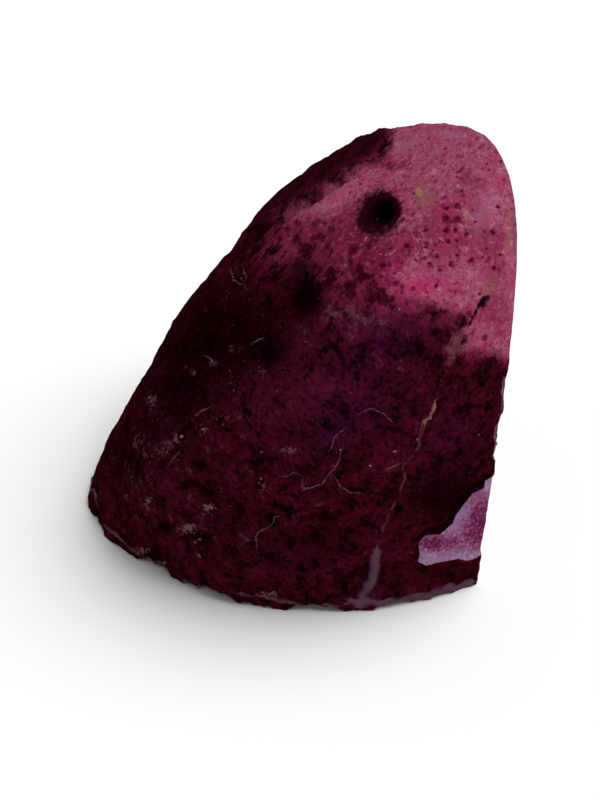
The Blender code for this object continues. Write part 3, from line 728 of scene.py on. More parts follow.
# Markings of the stone's near side, each at its place in the camera's view, in pixels.
pixelsPerMm = 4.6
markings = {
    # outline of the pale facet at the top; past the stone's edge it only has to be wide
    "pale": [
        (285, 215), (301, 238), (329, 241), (370, 265), (391, 293), (439, 303), (466, 320),
        (472, 347), (508, 355), (560, 350), (560, 90), (400, 90), (390, 157), (360, 167),
        (340, 178), (306, 200),
    ],
    # outline of the flake that is broken from the foot of the wall, down to pale quartz
    "flake": [
        (497, 474), (487, 480), (486, 487), (474, 493), (466, 503), (457, 515), (454, 523),
        (441, 534), (427, 535), (421, 540), (420, 547), (421, 554), (419, 561), (427, 565),
        (438, 562), (455, 559), (460, 558), (469, 560), (478, 557), (487, 551), (493, 538),
        (496, 521), (499, 491),
    ],
    # small round pits in the pale facet: x, y, width
    "pits": [
        (385, 158, 4), (392, 168, 5), (410, 163, 4), (417, 164, 4), (460, 155, 3),
        (462, 167, 5), (458, 170, 4), (409, 175, 4), (360, 175, 5), (361, 183, 5),
        (350, 191, 5), (357, 204, 5), (414, 191, 5), (463, 189, 5), (445, 195, 4),
        (447, 206, 5), (457, 204, 5), (446, 216, 6), (458, 216, 5), (447, 228, 6),
        (456, 228, 5), (467, 232, 5), (449, 240, 5), (458, 238, 5), (427, 229, 5),
        (437, 243, 5), (427, 246, 4), (438, 254, 5), (458, 253, 5), (473, 258, 5),
        (502, 254, 5), (495, 266, 6), (500, 268, 4), (494, 231, 5), (500, 206, 5),
        (407, 244, 7), (368, 244, 6), (383, 264, 6), (405, 216, 4), (396, 229, 4),
        (403, 230, 4), (415, 231, 4), (402, 261, 4), (437, 285, 4), (486, 297, 5),
        (342, 259, 5), (350, 259, 5), (481, 292, 5), (334, 219, 4), (344, 205, 4),
        (371, 190, 3), (377, 180, 3), (430, 262, 4), (416, 258, 4), (488, 246, 4),
        (477, 221, 4), (441, 268, 4), (452, 263, 4), (392, 246, 4), (395, 272, 4),
        (461, 177, 4), (445, 211, 4), (452, 220, 4), (485, 299, 5), (481, 304, 5), (477, 310, 4),
        (474, 316, 4),
    ],
    # dark blotches of the mottled ground beside the pale facet: x, y, width
    "blots": [
        (321, 236, 9), (304, 247, 12), (328, 245, 8), (339, 243, 7), (352, 249, 13),
        (341, 259, 6), (349, 259, 6), (334, 259, 6), (369, 244, 7), (373, 258, 6),
        (382, 265, 7), (390, 263, 4), (350, 284, 14), (352, 293, 12), (339, 286, 10),
        (382, 275, 6), (389, 283, 6), (396, 282, 6), (402, 286, 5), (383, 289, 5),
        (408, 301, 7), (419, 304, 6), (360, 267, 8), (365, 275, 9), (330, 271, 10),
        (321, 267, 8), (315, 265, 8), (318, 219, 5), (314, 223, 5), (308, 217, 5),
        (325, 221, 4), (332, 227, 4), (341, 219, 4), (376, 283, 8), (371, 293, 9),
        (312, 236, 8), (297, 236, 9), (345, 271, 8), (330, 287, 9), (402, 292, 5),
        (446, 206, 8), (457, 205, 8), (447, 217, 9), (458, 217, 8), (448, 229, 10),
        (406, 244, 8), (412, 246, 5), (429, 306, 5), (462, 316, 9), (470, 312, 8),
        (465, 322, 8), (486, 337, 6), (488, 349, 5), (376, 240, 5), (360, 232, 4),
        (298, 222, 7), (288, 228, 8), (301, 230, 6), (393, 295, 7), (384, 300, 9),
    ],
    # soft spots from here on, each one x, y, half width, half height, strength: dark stains first, with
    # painted shade in the big pit and the dimples
    "dark": [
        (387, 207, 9, 10, 1.2), (380, 211, 20, 21, 0.95), (370, 222, 12, 10, 0.4),
        (303, 292, 20, 34, 0.7), (312, 300, 10, 20, 0.35), (267, 352, 19, 17, 0.75),
        (348, 287, 10, 9, 0.3), (300, 262, 14, 12, 0.35), (198, 465, 8, 8, 0.8),
        (208, 492, 9, 7, 0.7), (163, 527, 9, 7, 0.8), (205, 537, 10, 7, 0.8),
        (232, 551, 10, 7, 0.6), (270, 517, 9, 7, 0.8), (360, 489, 14, 3, 0.8),
        (376, 416, 13, 4, 0.6), (291, 477, 6, 3, 0.5), (274, 524, 5, 4, 0.7),
        (484, 302, 5, 6, 0.5),
    ],
    # broad painted shade on the walls turned from the lamp, with deeper dye
    "shade": [
        (235, 330, 45, 60, 0.6), (170, 390, 45, 70, 0.75), (120, 460, 30, 40, 0.6),
        (285, 300, 45, 36, 0.30), (205, 330, 30, 60, 0.4), (270, 352, 30, 28, 0.5),
        (440, 490, 40, 30, 0.45), (490, 390, 20, 50, 0.3), (330, 545, 60, 35, 0.35),
        (215, 500, 40, 40, 0.35), (230, 560, 60, 24, 0.3), (475, 460, 24, 40, 0.4),
        (345, 175, 40, 12, 0.3), (460, 575, 40, 14, 0.7), (440, 502, 40, 34, 0.5),
    ],
    # rough grainy ground that shows many pale grains
    "speckle": [
        (170, 430, 55, 80, 0.45), (260, 420, 70, 60, 0.35), (350, 318, 50, 18, 0.9),
        (300, 330, 50, 40, 0.3), (200, 530, 60, 40, 0.3), (370, 360, 40, 12, 0.6),
        (240, 300, 40, 50, 0.3), (420, 350, 60, 40, 0.2), (130, 500, 40, 40, 0.3),
        (320, 540, 80, 40, 0.2), (455, 560, 40, 30, 0.35), (130, 470, 30, 50, 0.3),
        (190, 525, 30, 20, 0.35),
    ],
    # the two tints of the wall
    "purple": [
        (384, 320, 40, 18, 0.9), (395, 345, 50, 25, 0.7), (353, 410, 40, 25, 0.8),
        (332, 434, 30, 25, 0.7), (300, 560, 45, 22, 0.6), (425, 430, 60, 60, 0.35),
        (228, 520, 30, 14, 0.5), (290, 470, 20, 30, 0.4), (460, 440, 30, 40, 0.4),
        (340, 370, 60, 30, 0.45), (372, 590, 14, 30, 0.6), (435, 500, 30, 40, 0.3),
    ],
    "maroon": [
        (122, 513, 28, 30, 0.9), (335, 513, 45, 22, 0.8), (404, 558, 40, 25, 0.5),
        (150, 548, 30, 16, 0.8), (250, 420, 60, 50, 0.5), (200, 575, 60, 14, 0.6),
        (440, 575, 50, 16, 0.8), (262, 480, 30, 40, 0.4), (500, 340, 25, 20, 0.6),
        (480, 590, 30, 16, 0.5), (215, 440, 40, 40, 0.4),
    ],
    # paler dusting of pink grain
    "dusty": [
        (345, 325, 50, 18, 0.8), (300, 345, 40, 20, 0.5), (400, 330, 40, 14, 0.6),
        (450, 330, 25, 20, 0.6), (240, 390, 60, 40, 0.5), (290, 410, 60, 30, 0.5),
        (160, 420, 30, 40, 0.4), (260, 455, 40, 25, 0.5), (330, 390, 60, 20, 0.4),
        (200, 560, 50, 20, 0.4), (420, 400, 40, 30, 0.3), (180, 480, 50, 40, 0.3),
        (430, 318, 34, 9, 0.9), (345, 372, 50, 28, 0.5), (365, 300, 20, 12, 0.5),
    ],
    # painted lilac sheen on the pale facet, the lamp's highlight on the waxy skin, with some lilac tone
    "lilac": [
        (480, 215, 12, 28, 0.5), (456, 132, 26, 8, 0.6), (321, 206, 16, 9, 0.6),
        (497, 200, 10, 30, 0.4), (400, 150, 16, 6, 0.4), (345, 187, 16, 8, 0.4),
        (410, 141, 18, 6, 0.5), (484, 305, 14, 10, 0.3), (486, 130, 6, 5, 1.0),
    ],
    # thinner, redder skin with many pits
    "fresh": [
        (450, 220, 34, 34, 0.9), (425, 248, 30, 16, 0.5), (340, 225, 40, 20, 0.9),
        (385, 190, 40, 12, 0.4), (495, 250, 16, 30, 0.7), (495, 310, 20, 30, 0.8),
        (370, 258, 30, 20, 0.9), (480, 165, 20, 20, 0.4), (390, 275, 20, 14, 0.8),
        (455, 310, 24, 10, 0.6), (398, 236, 22, 10, 0.5),
    ],
    # mid-toned, mottled ground between the pale facet and the dark wall
    "mottled": [
        (335, 240, 45, 24, 0.9), (368, 266, 30, 24, 0.9), (295, 235, 26, 18, 0.6),
        (350, 292, 26, 12, 0.5), (270, 255, 26, 22, 0.35), (410, 305, 26, 8, 0.6),
        (455, 322, 18, 10, 0.5), (325, 275, 20, 20, 0.3), (480, 352, 26, 9, 0.5),
        (395, 165, 16, 5, 0.8), (372, 160, 18, 6, 0.7), (300, 264, 36, 22, 0.3),
        (395, 308, 40, 10, 0.5), (435, 318, 26, 8, 0.7),
    ],
    # grainy clumps of cream crust on the wall, and small amber stains on the pale facet
    "clumps": [
        (208, 507, 7, 5, 1.2), (187, 528, 10, 5, 1.2), (197, 540, 7, 4, 0.8), (140, 550, 9, 4, 1.1),
        (158, 563, 9, 3, 1.1), (212, 362, 5, 4, 0.9), (192, 372, 4, 5, 0.8), (203, 430, 8, 7, 0.7),
        (147, 500, 5, 5, 0.8), (262, 487, 5, 7, 0.8), (268, 594, 12, 4, 1.0), (197, 555, 5, 3, 0.9),
        (260, 370, 6, 5, 0.7), (175, 438, 5, 8, 0.8), (163, 452, 6, 6, 0.7), (230, 417, 20, 6, 0.5),
        (150, 400, 6, 10, 0.8), (290, 450, 12, 4, 0.8),
    ],
    "amber": [
        (420, 190, 4, 5, 1.3), (398, 142, 4, 2, 1.0), (436, 143, 3, 2, 0.9), (509, 197, 2, 7, 0.8),
        (513, 242, 2, 6, 1.0), (514, 262, 2, 8, 0.7),
    ],
    # the flake's pink core, its white edges and the painted shadow in the groove round it, which is an
    # open line
    "flakeCore": [(483, 520, 13, 30, 1.4), (430, 543, 12, 8, 1.3), (449, 542, 16, 10, 1.0),
                  (470, 530, 14, 20, 0.5)],
    "flakeWhite": [(430, 559, 7, 6, 1.2), (490, 482, 6, 9, 1.2), (458, 510, 6, 14, 0.8),
                   (470, 554, 14, 4, 0.9), (464, 537, 5, 9, 0.7)],
    "flakeGrooveShadow": [
        [(492, 474), (484, 482), (472, 489), (463, 499), (454, 511), (450, 521), (439, 530),
         (426, 531), (418, 538)],
    ],
    # tan and hot pink tints of the pale facet
    "tan": [
        (425, 200, 14, 16, 0.4), (490, 290, 14, 14, 0.5),
        (455, 347, 12, 18, 1.0), (462, 332, 9, 9, 0.9), (510, 230, 4, 36, 0.7),
        (396, 141, 10, 3, 0.6), (375, 232, 26, 8, 0.35), (345, 175, 16, 6, 0.4),
        (440, 190, 40, 14, 0.35), (475, 270, 30, 16, 0.25), (440, 310, 30, 8, 0.2),
    ],
    "magenta": [
        (420, 284, 50, 14, 0.9), (385, 262, 30, 12, 0.6), (452, 222, 20, 26, 0.5),
        (396, 200, 16, 26, 0.6), (366, 205, 10, 20, 0.5), (398, 158, 14, 5, 0.7),
        (430, 246, 26, 18, 0.3), (485, 255, 20, 16, 0.4), (495, 325, 20, 16, 0.5),
        (330, 232, 26, 14, 0.6), (478, 133, 16, 5, 0.4), (360, 270, 20, 14, 0.5),
    ],
    # open lines from here on: the cream vein, its wide foot and its head, cracks, scratches
    # and the crevice, painted near-black as its shade
    "vein": [
        [(432, 407), (429, 414), (421, 428), (419, 448), (405, 465), (403, 487), (391, 510),
         (380, 538), (375, 554)],
    ],
    "veinFoot": [[(377, 552), (372, 582), (360, 601)]],
    "veinHead": [[(434, 405), (431, 414), (427, 422)], [(418, 187), (421, 194)]],
    "cracks": [
        [(342, 448), (340, 458), (334, 467), (328, 476), (321, 483), (311, 485), (302, 490)],
        [(334, 479), (341, 486), (349, 491), (361, 493)],
        [(254, 540), (259, 532), (268, 526), (276, 518)],
        [(343, 430), (334, 436), (330, 448)], [(360, 412), (372, 408), (386, 413), (393, 420)],
        [(283, 476), (294, 472), (303, 478), (301, 487)], [(402, 462), (386, 470)],
        [(254, 540), (256, 548)],
    ],
    "scratches": [
        [(120, 395), (132, 384), (141, 396)], [(128, 410), (137, 396)], [(206, 356), (214, 361)],
        [(262, 337), (252, 342)], [(230, 266), (234, 280), (243, 285)], [(243, 268), (246, 276)],
        [(148, 380), (156, 372)], [(196, 415), (206, 407)], [(176, 452), (170, 462)],
    ],
    "creviceShade": [[(488, 296), (484, 300), (480, 306), (475, 314), (471, 322)], [(465, 316), (463, 323)]],
    # bare cream stone along the sawn edges
    "rawRim": [
        [(86, 484), (94, 494), (96, 504)], [(105, 527), (120, 540), (140, 556), (163, 568)],
        [(240, 594), (270, 599), (310, 606), (350, 605), (380, 607)],
        [(505, 400), (502, 418), (498, 436), (496, 458)], [(514, 192), (517, 262)],
        [(480, 125), (488, 137)],
    ],
    # the translucent grey-lilac foot of the wall beside the vein
    "footRim": [[(352, 601), (383, 603), (410, 599), (440, 593), (472, 583)]],
    # white specks: x, y, width
    "specks": [
        (282, 448, 3), (287, 452, 2), (293, 450, 2), (261, 451, 3), (241, 277, 2),
        (210, 507, 3), (190, 529, 3), (198, 522, 2), (185, 533, 2), (366, 236, 2),
        (371, 237, 2), (376, 236, 2), (378, 218, 2), (373, 224, 2), (459, 184, 4),
        (312, 259, 2), (316, 262, 2), (370, 307, 3), (380, 308, 3), (378, 319, 3),
        (388, 316, 3), (400, 308, 3), (374, 363, 3), (392, 367, 3), (395, 450, 4),
        (370, 465, 3), (260, 478, 3), (340, 449, 3), (150, 455, 3), (180, 436, 4),
        (418, 439, 3), (480, 433, 3), (233, 390, 3), (276, 390, 3), (228, 370, 3),
    ],
}
# the open lines
lineNames = ("vein", "veinFoot", "veinHead", "cracks", "scratches", "creviceShade", "footRim", "rawRim",
             "flakeGrooveShadow")


stone = {
    "lowEdge": 110,                    # pieces of the straight edge between face and base
    "below": 1.5,                      # how far past the two saw cuts the rind is still refined
    # what the camera sees is refined, and once more up to this many pixels outside the pale
    # facet and the flake
    "refineFacing": 0.05, "refinePale": 12.0, "refineFlake": 4.0,
    # relief of the rind: height and width in mm, and the noise's seed
    "relief": [(0.50, 6.0, 3.1), (0.44, 2.9, 9.4), (0.25, 1.4, 8.2), (0.08, 0.65, 1.4)],
    "lumpHeight": 0.6,                 # relief that counts as 1 in the rind's material
    "nearFacing": (0.0, 0.15),         # how squarely a surface faces the camera on its near side
    "smoothSkin": 0.28,                # share of the relief on the pale facet
    "skinEdge": (-2.0, 2.0),           # mm, from the wall's relief to the skin's
    # the flake: depth at the sawn face and away from it, where in pixels it gets deeper,
    # the width of its step, and the share of the relief that it loses within how much
    "flakeDeep": (0.45, 1.05), "flakeSlope": (500.0, 455.0),
    "flakeStep": 0.45, "flakeCalm": (0.6, 0.4),
    # how far from rim to hollow, or rim to middle, each ring of the flat sides lies
    "faceRings": (0.008, 0.02, 0.04, 0.07, 0.11, 0.17, 0.24, 0.32, 0.41, 0.51, 0.61, 0.71,
                  0.81, 0.91, 1.0),
    "baseRings": (0.006, 0.02, 0.05, 0.12, 0.22, 0.34, 0.48, 0.62, 0.78, 0.92),
    "baseMiddle": (2.0, -6.0),
    "bowlRings": 6,
}

hollow = {
    "centre": (-7.0, -33.0, 39.0),
    "reach": (26.0, 23.0, 18.5),       # half width, depth and half height
    "wallEnd": 1.45,                   # in squares of its reach, what still belongs to its wall
    "lobes": (0.09, 0.06),             # how far its wall swells, as shares of its reach
}


def hollowReach(rays):
    # from the hollow's centre to its wall, which swells in and out a little
    wide, deep, tall = hollow["reach"]
    x, y, z = rays.T
    plain = 1.0 / np.sqrt((x / wide) ** 2 + (y / deep) ** 2 + (z / tall) ** 2)
    broad, narrow = hollow["lobes"]
    lobes = broad * np.sin(3.0 * x + 1.0) * np.cos(4.0 * z)
    lobes += narrow * np.sin(5.0 * z + 2.0 * y)
    return plain * (1.0 + lobes)


def hollowAngles(points):
    # the way of points from the hollow's centre, as seen from the sawn face
    off = points - np.array(hollow["centre"])
    return np.arctan2(off[:, 2], off[:, 0])


def hollowRim(angles, inset=0.0):
    # points of the hollow's outline in the sawn face, or of one drawn in by inset
    lift = nodule["faceY"] - hollow["centre"][1]
    flat = np.stack([np.cos(angles), np.zeros(len(angles)), np.sin(angles)], 1)
    # how much the way to the outline rises is a guess at first, and exact in the end
    sink = np.full(len(angles), 0.05)
    for _ in range(25):
        rays = flat * np.sqrt(1.0 - sink ** 2)[:, None]
        rays[:, 1] = sink
        reach = hollowReach(rays) - inset
        sink = lift / reach
    points = np.array(hollow["centre"]) + rays * reach[:, None]
    points[:, 1] = nodule["faceY"]
    return points


def capOf(mesh, normal):
    # the face with the most corners among those that look along a direction
    facing = getPolygons(mesh, "normal", 3) @ np.array(normal) > straight
    corners = getPolygons(mesh, "loop_total")
    return int(np.argmax(np.where(facing, corners, 0)))


def pushCap(mesh, cap, placer):
    # extrude one face and put its new corners where placer says
    startEdit(mesh, "FACE", np.arange(len(mesh.polygons)) == cap)
    bpy.ops.mesh.extrude_region()
    endEdit()
    cap = int(np.flatnonzero(getPolygons(mesh, "select"))[0])
    corners = np.array(mesh.polygons[cap].vertices)
    points = getPoints(mesh)
    points[corners] = placer(points[corners])
    setPoints(mesh, points)
    return cap


def closeCap(mesh, cap, point):
    # draw the last, small ring together and put the corner that is left at a point
    corners = np.array(mesh.polygons[cap].vertices)
    middle = getPoints(mesh)[corners].mean(0)
    startEdit(mesh, "FACE", np.arange(len(mesh.polygons)) == cap)
    bpy.ops.mesh.merge(type="CENTER")
    endEdit()
    tip = int(((getPoints(mesh) - middle) ** 2).sum(1).argmin())
    mesh.vertices[tip].co = point


def towardsPole(reach, share):
    # a placer that moves points over the hollow's wall towards its deepest point
    centre, inward = np.array(hollow["centre"]), np.array([0.0, 1.0, 0.0])

    def placer(points):
        rays = unit(points - centre)
        tilt = np.arccos(np.clip(rays[:, 1], -1.0, 1.0)) * (1.0 - share)
        side = unit(rays * (1.0 - inward))
        rays = side * np.sin(tilt)[:, None] + inward * np.cos(tilt)[:, None]
        return centre + rays * reach(rays)[:, None]
    return placer


def closeBowl(mesh, cap, reach, rings):
    # rings down the hollow's wall, closed at its deepest point
    for ring in range(rings):
        cap = pushCap(mesh, cap, towardsPole(reach, 1.0 / (rings + 1 - ring)))
    pole = np.array([[0.0, 1.0, 0.0]])
    closeCap(mesh, cap, np.array(hollow["centre"]) + pole[0] * reach(pole)[0])


def pushRings(mesh, cap, shares, goal):
    # rings of a flat side, each at its share of the way from the rim to each point's goal
    done = 0.0
    for share in shares:
        step = (share - done) / (1.0 - done)
        cap = pushCap(mesh, cap, lambda points: points + (goal(points) - points) * step)
        done = share
    return cap


def closeFace(mesh):
    # the polished face: rings from its rim to the hollow, then down the hollow's wall
    cap = capOf(mesh, (0, -1, 0))
    cap = pushRings(mesh, cap, stone["faceRings"], lambda points: hollowRim(hollowAngles(points)))
    closeBowl(mesh, cap, hollowReach, stone["bowlRings"])


def closeBase(mesh):
    middle = np.array([*stone["baseMiddle"], nodule["baseZ"]])
    cap = pushRings(mesh, capOf(mesh, (0, 0, -1)), stone["baseRings"], lambda points: middle)
    closeCap(mesh, cap, middle)


pits = {
    # azimuth, elevation, length, width, depth, turn of the larger pits
    "large": [
        (161.0, 60.0, 9.6, 7.2, 3.4, 35.0), (142.5, 17.0, 4.2, 3.4, 1.3, 0.0),
        (121.6, 15.4, 4.4, 3.2, 1.5, 20.0), (123.7, 9.0, 5.0, 3.4, 1.6, 70.0),
        (111.3, -2.8, 4.6, 3.6, 1.6, 10.0), (121.8, -3.0, 5.2, 3.0, 1.5, 40.0),
        (129.5, 4.0, 4.0, 2.8, 1.2, 60.0), (84.0, 8.0, 6.4, 4.8, 2.2, 15.0),
        (66.0, 24.0, 7.0, 5.0, 2.4, 65.0), (22.0, 12.0, 6.0, 4.2, 2.0, 30.0),
        (4.0, 34.0, 7.4, 5.0, 2.4, 80.0), (40.0, 58.0, 5.6, 4.4, 1.8, 25.0),
    ],
    "largeDepth": 0.9,                 # share of their depth that is pressed in
    "upright": (0.3, 0.2, 1.0),        # the small pits' axes are at right angles to this
    "turns": (0.0, 3.14),              # and then turned by this much, in radians
    # the pale facet's small pits, marked in the view: their half width, length and depth
    # as shares of the marked half width, how much narrower they are, and their darkness,
    # which paints shade into them
    "skin": ((0.75, 1.10), (1.0, 1.5), (0.35, 0.6), 0.9, 0.9),
    # pits strewn anywhere: how many, half width in mm, length and depth as shares of it,
    # darkness; on the walls that the camera sees, and where it never looks
    "wall": (150, (0.5, 1.4), (1.0, 1.8), (0.2, 0.4), 0.45),
    "far": (70, (0.9, 2.2), (1.0, 1.6), (0.3, 0.5), 0.7),
    "nearFacing": 0.1, "farFacing": -0.05,  # how squarely those places face the camera
    "fromPale": 12.0,                  # pixels that wall pits keep from the pale facet
    "fromBase": 3.0, "fromFace": 2.0,  # mm that far pits keep from the saw cuts
    # where a pit's side rises and its painted shade ends, as shares of its half width
    "side": (0.15, 1.12), "tint": (0.3, 1.25),
}


def makeDents(points, normals, pixels, facing):
    # every pit as its centre, three axes, half length, half width, depth and darkness
    dice = random.Random(12)
    dents = []
    for azimuth, elevation, length, width, depth, turn in pits["large"]:
        frameAxes = rindFrame(azimuth, elevation, turn)
        dents.append((*frameAxes, length / 2, width / 2, depth * pits["largeDepth"], 1.0))

    def addDent(spot, turn, half, narrower, longer, deeper, darkness):
        out = normals[spot]
        across = unit(np.cross(pits["upright"], out))
        across, up = turnAxes(across, np.cross(out, across), turn)
        dents.append((points[spot], across, up, out, half * dice.uniform(*longer), half * narrower,
                      half * dice.uniform(*deeper), darkness))

    near = np.flatnonzero(facing > pits["nearFacing"])
    halves, longer, deeper, narrower, darkness = pits["skin"]
    for x, y, width in markings["pits"]:
        spot = near[((pixels[near] - (x, y)) ** 2).sum(1).argmin()]
        turn = dice.uniform(*pits["turns"])
        half = width / pixelsPerMm / 2 * dice.uniform(*halves)
        addDent(spot, turn, half, narrower, longer, deeper, darkness)
    wall = near[insideOutline(pixels[near], markings["pale"]) < -pits["fromPale"]]
    far = (facing < pits["farFacing"]) & (points[:, 2] > pits["fromBase"])
    far = np.flatnonzero(far & (points[:, 1] > nodule["faceY"] + pits["fromFace"]))
    for places, row in ((wall, pits["wall"]), (far, pits["far"])):
        count, halves, longer, deeper, darkness = row
        for _ in range(count):
            spot = places[dice.randrange(len(places))]
            addDent(spot, 0.0, dice.uniform(*halves), 1.0, longer, deeper, darkness)
    return dents


def pressDents(points, dents):
    # press the pits in; also says how far inside a pit each point is, from 0 to 1, scaled by
    # the pit's darkness, which the rind's material paints as shade
    moved = points.copy()
    inside = np.zeros(len(points))
    for here, across, up, out, length, width, depth, darkness in dents:
        off = points - here
        search = 1.8 * length + 1.0    # well past the pit's tint
        close = np.flatnonzero((off ** 2).sum(1) < search ** 2)
        off = off[close]
        away = np.sqrt((off @ across / length) ** 2 + (off @ up / width) ** 2)
        moved[close] -= out * ((1.0 - smooth(*pits["side"], away)) * depth)[:, None]
        inside[close] = np.maximum(inside[close], (1.0 - smooth(*pits["tint"], away)) * darkness)
    return moved, inside


chips = {
    # the larger chips along each sawn edge: angle round the heart, half length, half width
    # into the flat, half height up the rind
    "base": [
        (123.0, 5.2, 1.1, 1.4), (146.0, 6.4, 1.3, 1.5), (164.0, 4.4, 1.2, 1.4),
        (105.0, 4.6, 1.0, 1.3), (68.0, 5.4, 1.8, 2.2), (31.0, 4.6, 1.8, 1.8),
    ],
    "face": [
        (157.0, 3.6, 0.9, 1.3), (149.5, 2.8, 0.8, 1.0), (44.0, 4.6, 1.4, 1.8),
        (6.0, 4.0, 1.3, 1.6),
    ],
    # small chips along each edge: how many, between which angles, half height in mm,
    # half length as a share of it, half width as a share of it
    "count": 23, "baseSpan": (2.0, 178.0), "faceSpan": (-10.0, 190.0),
    "small": ((0.35, 1.0), (1.2, 3.0), 0.6),
    "wholeRim": (100.0, 145.0),        # part of the face's rim that kept its edge
    # an edge's points lie this little under the rind, and look this little along one axis
    "outside": 3.0, "bent": 0.999,
    "ragged": [(0.25, 1.3, 5.5), (0.12, 0.5, 2.5)],  # amount, width and seed of noises
    "deepest": 1.2,                    # how far a point moves in at most, in half heights
    "tint": 0.15,                      # mm of depth at which the broken stone shows fully
}


def onCuts(points):
    # which points lie on the sawn face, and which on the sawn base
    fromFace, fromBase = points[:, 1] - nodule["faceY"], points[:, 2] - nodule["baseZ"]
    return np.abs(fromFace) < nearCut, np.abs(fromBase) < nearCut


def rimPoint(rim, angles, angle):
    # the number of the rim's point at an angle
    gap = np.abs((angles[rim] - angle + 180.0) % 360.0 - 180.0)
    return rim[gap.argmin()]


def makeChips(points, normals):
    # every chip as its place, three axes and three half sizes
    dice = random.Random(31)
    onFace, onBase = onCuts(points)
    edge = (depthInside(points) < chips["outside"]) & (np.abs(normals).max(1) <= chips["bent"])
    off = points - heart
    around = np.degrees(np.arctan2(off[:, 1], off[:, 0]))
    upright = np.degrees(np.arctan2(off[:, 2], off[:, 0]))
    sizes, longer, shallower = chips["small"]
    found = []
    for name, onRim, angles, normal, whole in (
            ("base", edge & onBase & ~onFace, around, (0, 0, 1), (0.0, 0.0)),
            ("face", edge & onFace & ~onBase, upright, (0, 1, 0), chips["wholeRim"])):
        rim, rows = np.flatnonzero(onRim), list(chips[name])
        for _ in range(chips["count"]):
            size = dice.uniform(*sizes)
            angle = dice.uniform(*chips[name + "Span"])
            length = size * dice.uniform(*longer)
            if not whole[0] < angle < whole[1]:
                rows.append((angle, length, size * shallower, size))
        normal = np.array(normal)
        for angle, *reach in rows:
            spot = rimPoint(rim, angles, angle)
            along = points[rimPoint(rim, angles, angle + 1.5)] - points[spot]
            along = unit(along - normal * (along @ normal))
            axes = np.stack([along, np.cross(along, normal), normal], 1)
            found.append((points[spot], axes, np.array(reach)))
    return found


def breakEdges(mesh):
    # a chip is an ellipsoid, and the points inside it go in, against their normals, to its far side
    points, normals = getPoints(mesh), getNormals(mesh)
    broken = np.zeros(len(points))
    ragged = noiseSum(points, chips["ragged"], 1.0)
    for here, axes, reach in makeChips(points, normals):
        off = points - here
        search = 1.5 * max(reach[0], reach[2])  # well past the chip, ragged as it is
        close = np.flatnonzero((off ** 2).sum(1) < search ** 2)
        size = reach * ragged[close, None]
        place = (off[close] @ axes) / size
        way = (-normals[close] @ axes) / size
        a, b, c = (way ** 2).sum(1), (way * place).sum(1), (place ** 2).sum(1) - 1.0
        go = np.where(c < 0.0, (-b + np.sqrt(np.maximum(b * b - a * c, 0.0))) / a, 0.0)
        go = np.minimum(go, chips["deepest"] * reach[2])
        points[close] -= normals[close] * go[:, None]
        broken[close] = np.maximum(broken[close], smooth(0.0, chips["tint"], go))
    setPoints(mesh, points)
    saveAttribute(mesh, "broken", broken)
    # join the few points that met
    startEdit(mesh, "VERT")
    bpy.ops.mesh.remove_doubles(threshold=0.001)
    endEdit()


def softSpots(pixels, rows):
    # how much of the listed spots reaches each point, all together
    total = np.zeros(len(pixels))
    for x, y, wide, tall, strength in rows:
        gap = ((pixels[:, 0] - x) / wide) ** 2 + ((pixels[:, 1] - y) / tall) ** 2
        total += strength * np.exp(-gap)
    return total


def lineGaps(pixels, lines):
    # the sign is kept, so that a thin line stays whole between the mesh's points
    nearest = np.full(len(pixels), np.inf)
    for line in lines:
        gap = lineGap(pixels, line)
        nearest = np.where(np.abs(gap) < np.abs(nearest), gap, nearest)
    nearest /= pixelsPerMm
    return nearest + nearest ** 3      # steeper away from the lines, where the sign turns over


def tellSides(mesh):
    # rind, polished face, or sawn base and hollow; the edges between them stay sharp
    centres, looks = getPolygons(mesh, "center", 3), getPolygons(mesh, "normal", 3)
    onFace = (centres[:, 1] < nodule["faceY"] + 2 * nearCut) & (looks[:, 1] < -straight)
    onBase = (centres[:, 2] < nodule["baseZ"] + 2 * nearCut) & (looks[:, 2] < -straight)
    off = centres - np.array(hollow["centre"])
    inHollow = ((off / np.array(hollow["reach"])) ** 2).sum(1) < hollow["wallEnd"]
    inHollow &= (looks * off).sum(1) < 0.0
    kind = np.where(onFace, 1, np.where(onBase | inHollow, 2, 0))
    mesh.polygons.foreach_set("material_index", kind.astype(np.int32))
    for number in (1, 2):
        startEdit(mesh, "FACE", kind == number)
        bpy.ops.mesh.region_to_loop()
        bpy.ops.mesh.mark_sharp()
        endEdit()


def shapeRind(mesh):
    # a cube of small squares, blown up to the rind, and finer where the camera looks
    startEdit(mesh, "FACE")
    bpy.ops.mesh.subdivide(number_cuts=nodule["cuts"])
    endEdit()
    setPoints(mesh, rindPoints(unit(np.tan(getPoints(mesh) * math.pi / 4.0))))

    def regions():
        centres = getPolygons(mesh, "center", 3)
        facing = cameraFacing(centres, getPolygons(mesh, "normal", 3))
        kept = (centres[:, 2] > nodule["baseZ"] - stone["below"])
        kept &= centres[:, 1] > nodule["faceY"] - stone["below"]
        return toPixels(centres), (facing > stone["refineFacing"]) & kept

    refineRind(mesh, regions()[1], 2)
    pixels, seen = regions()
    pale = insideOutline(pixels, markings["pale"]) > -stone["refinePale"]
    flake = insideOutline(pixels, markings["flake"]) > -stone["refineFlake"]
    refineRind(mesh, seen & (pale | flake), 1)
    print("rind shaped", len(mesh.vertices), "points")


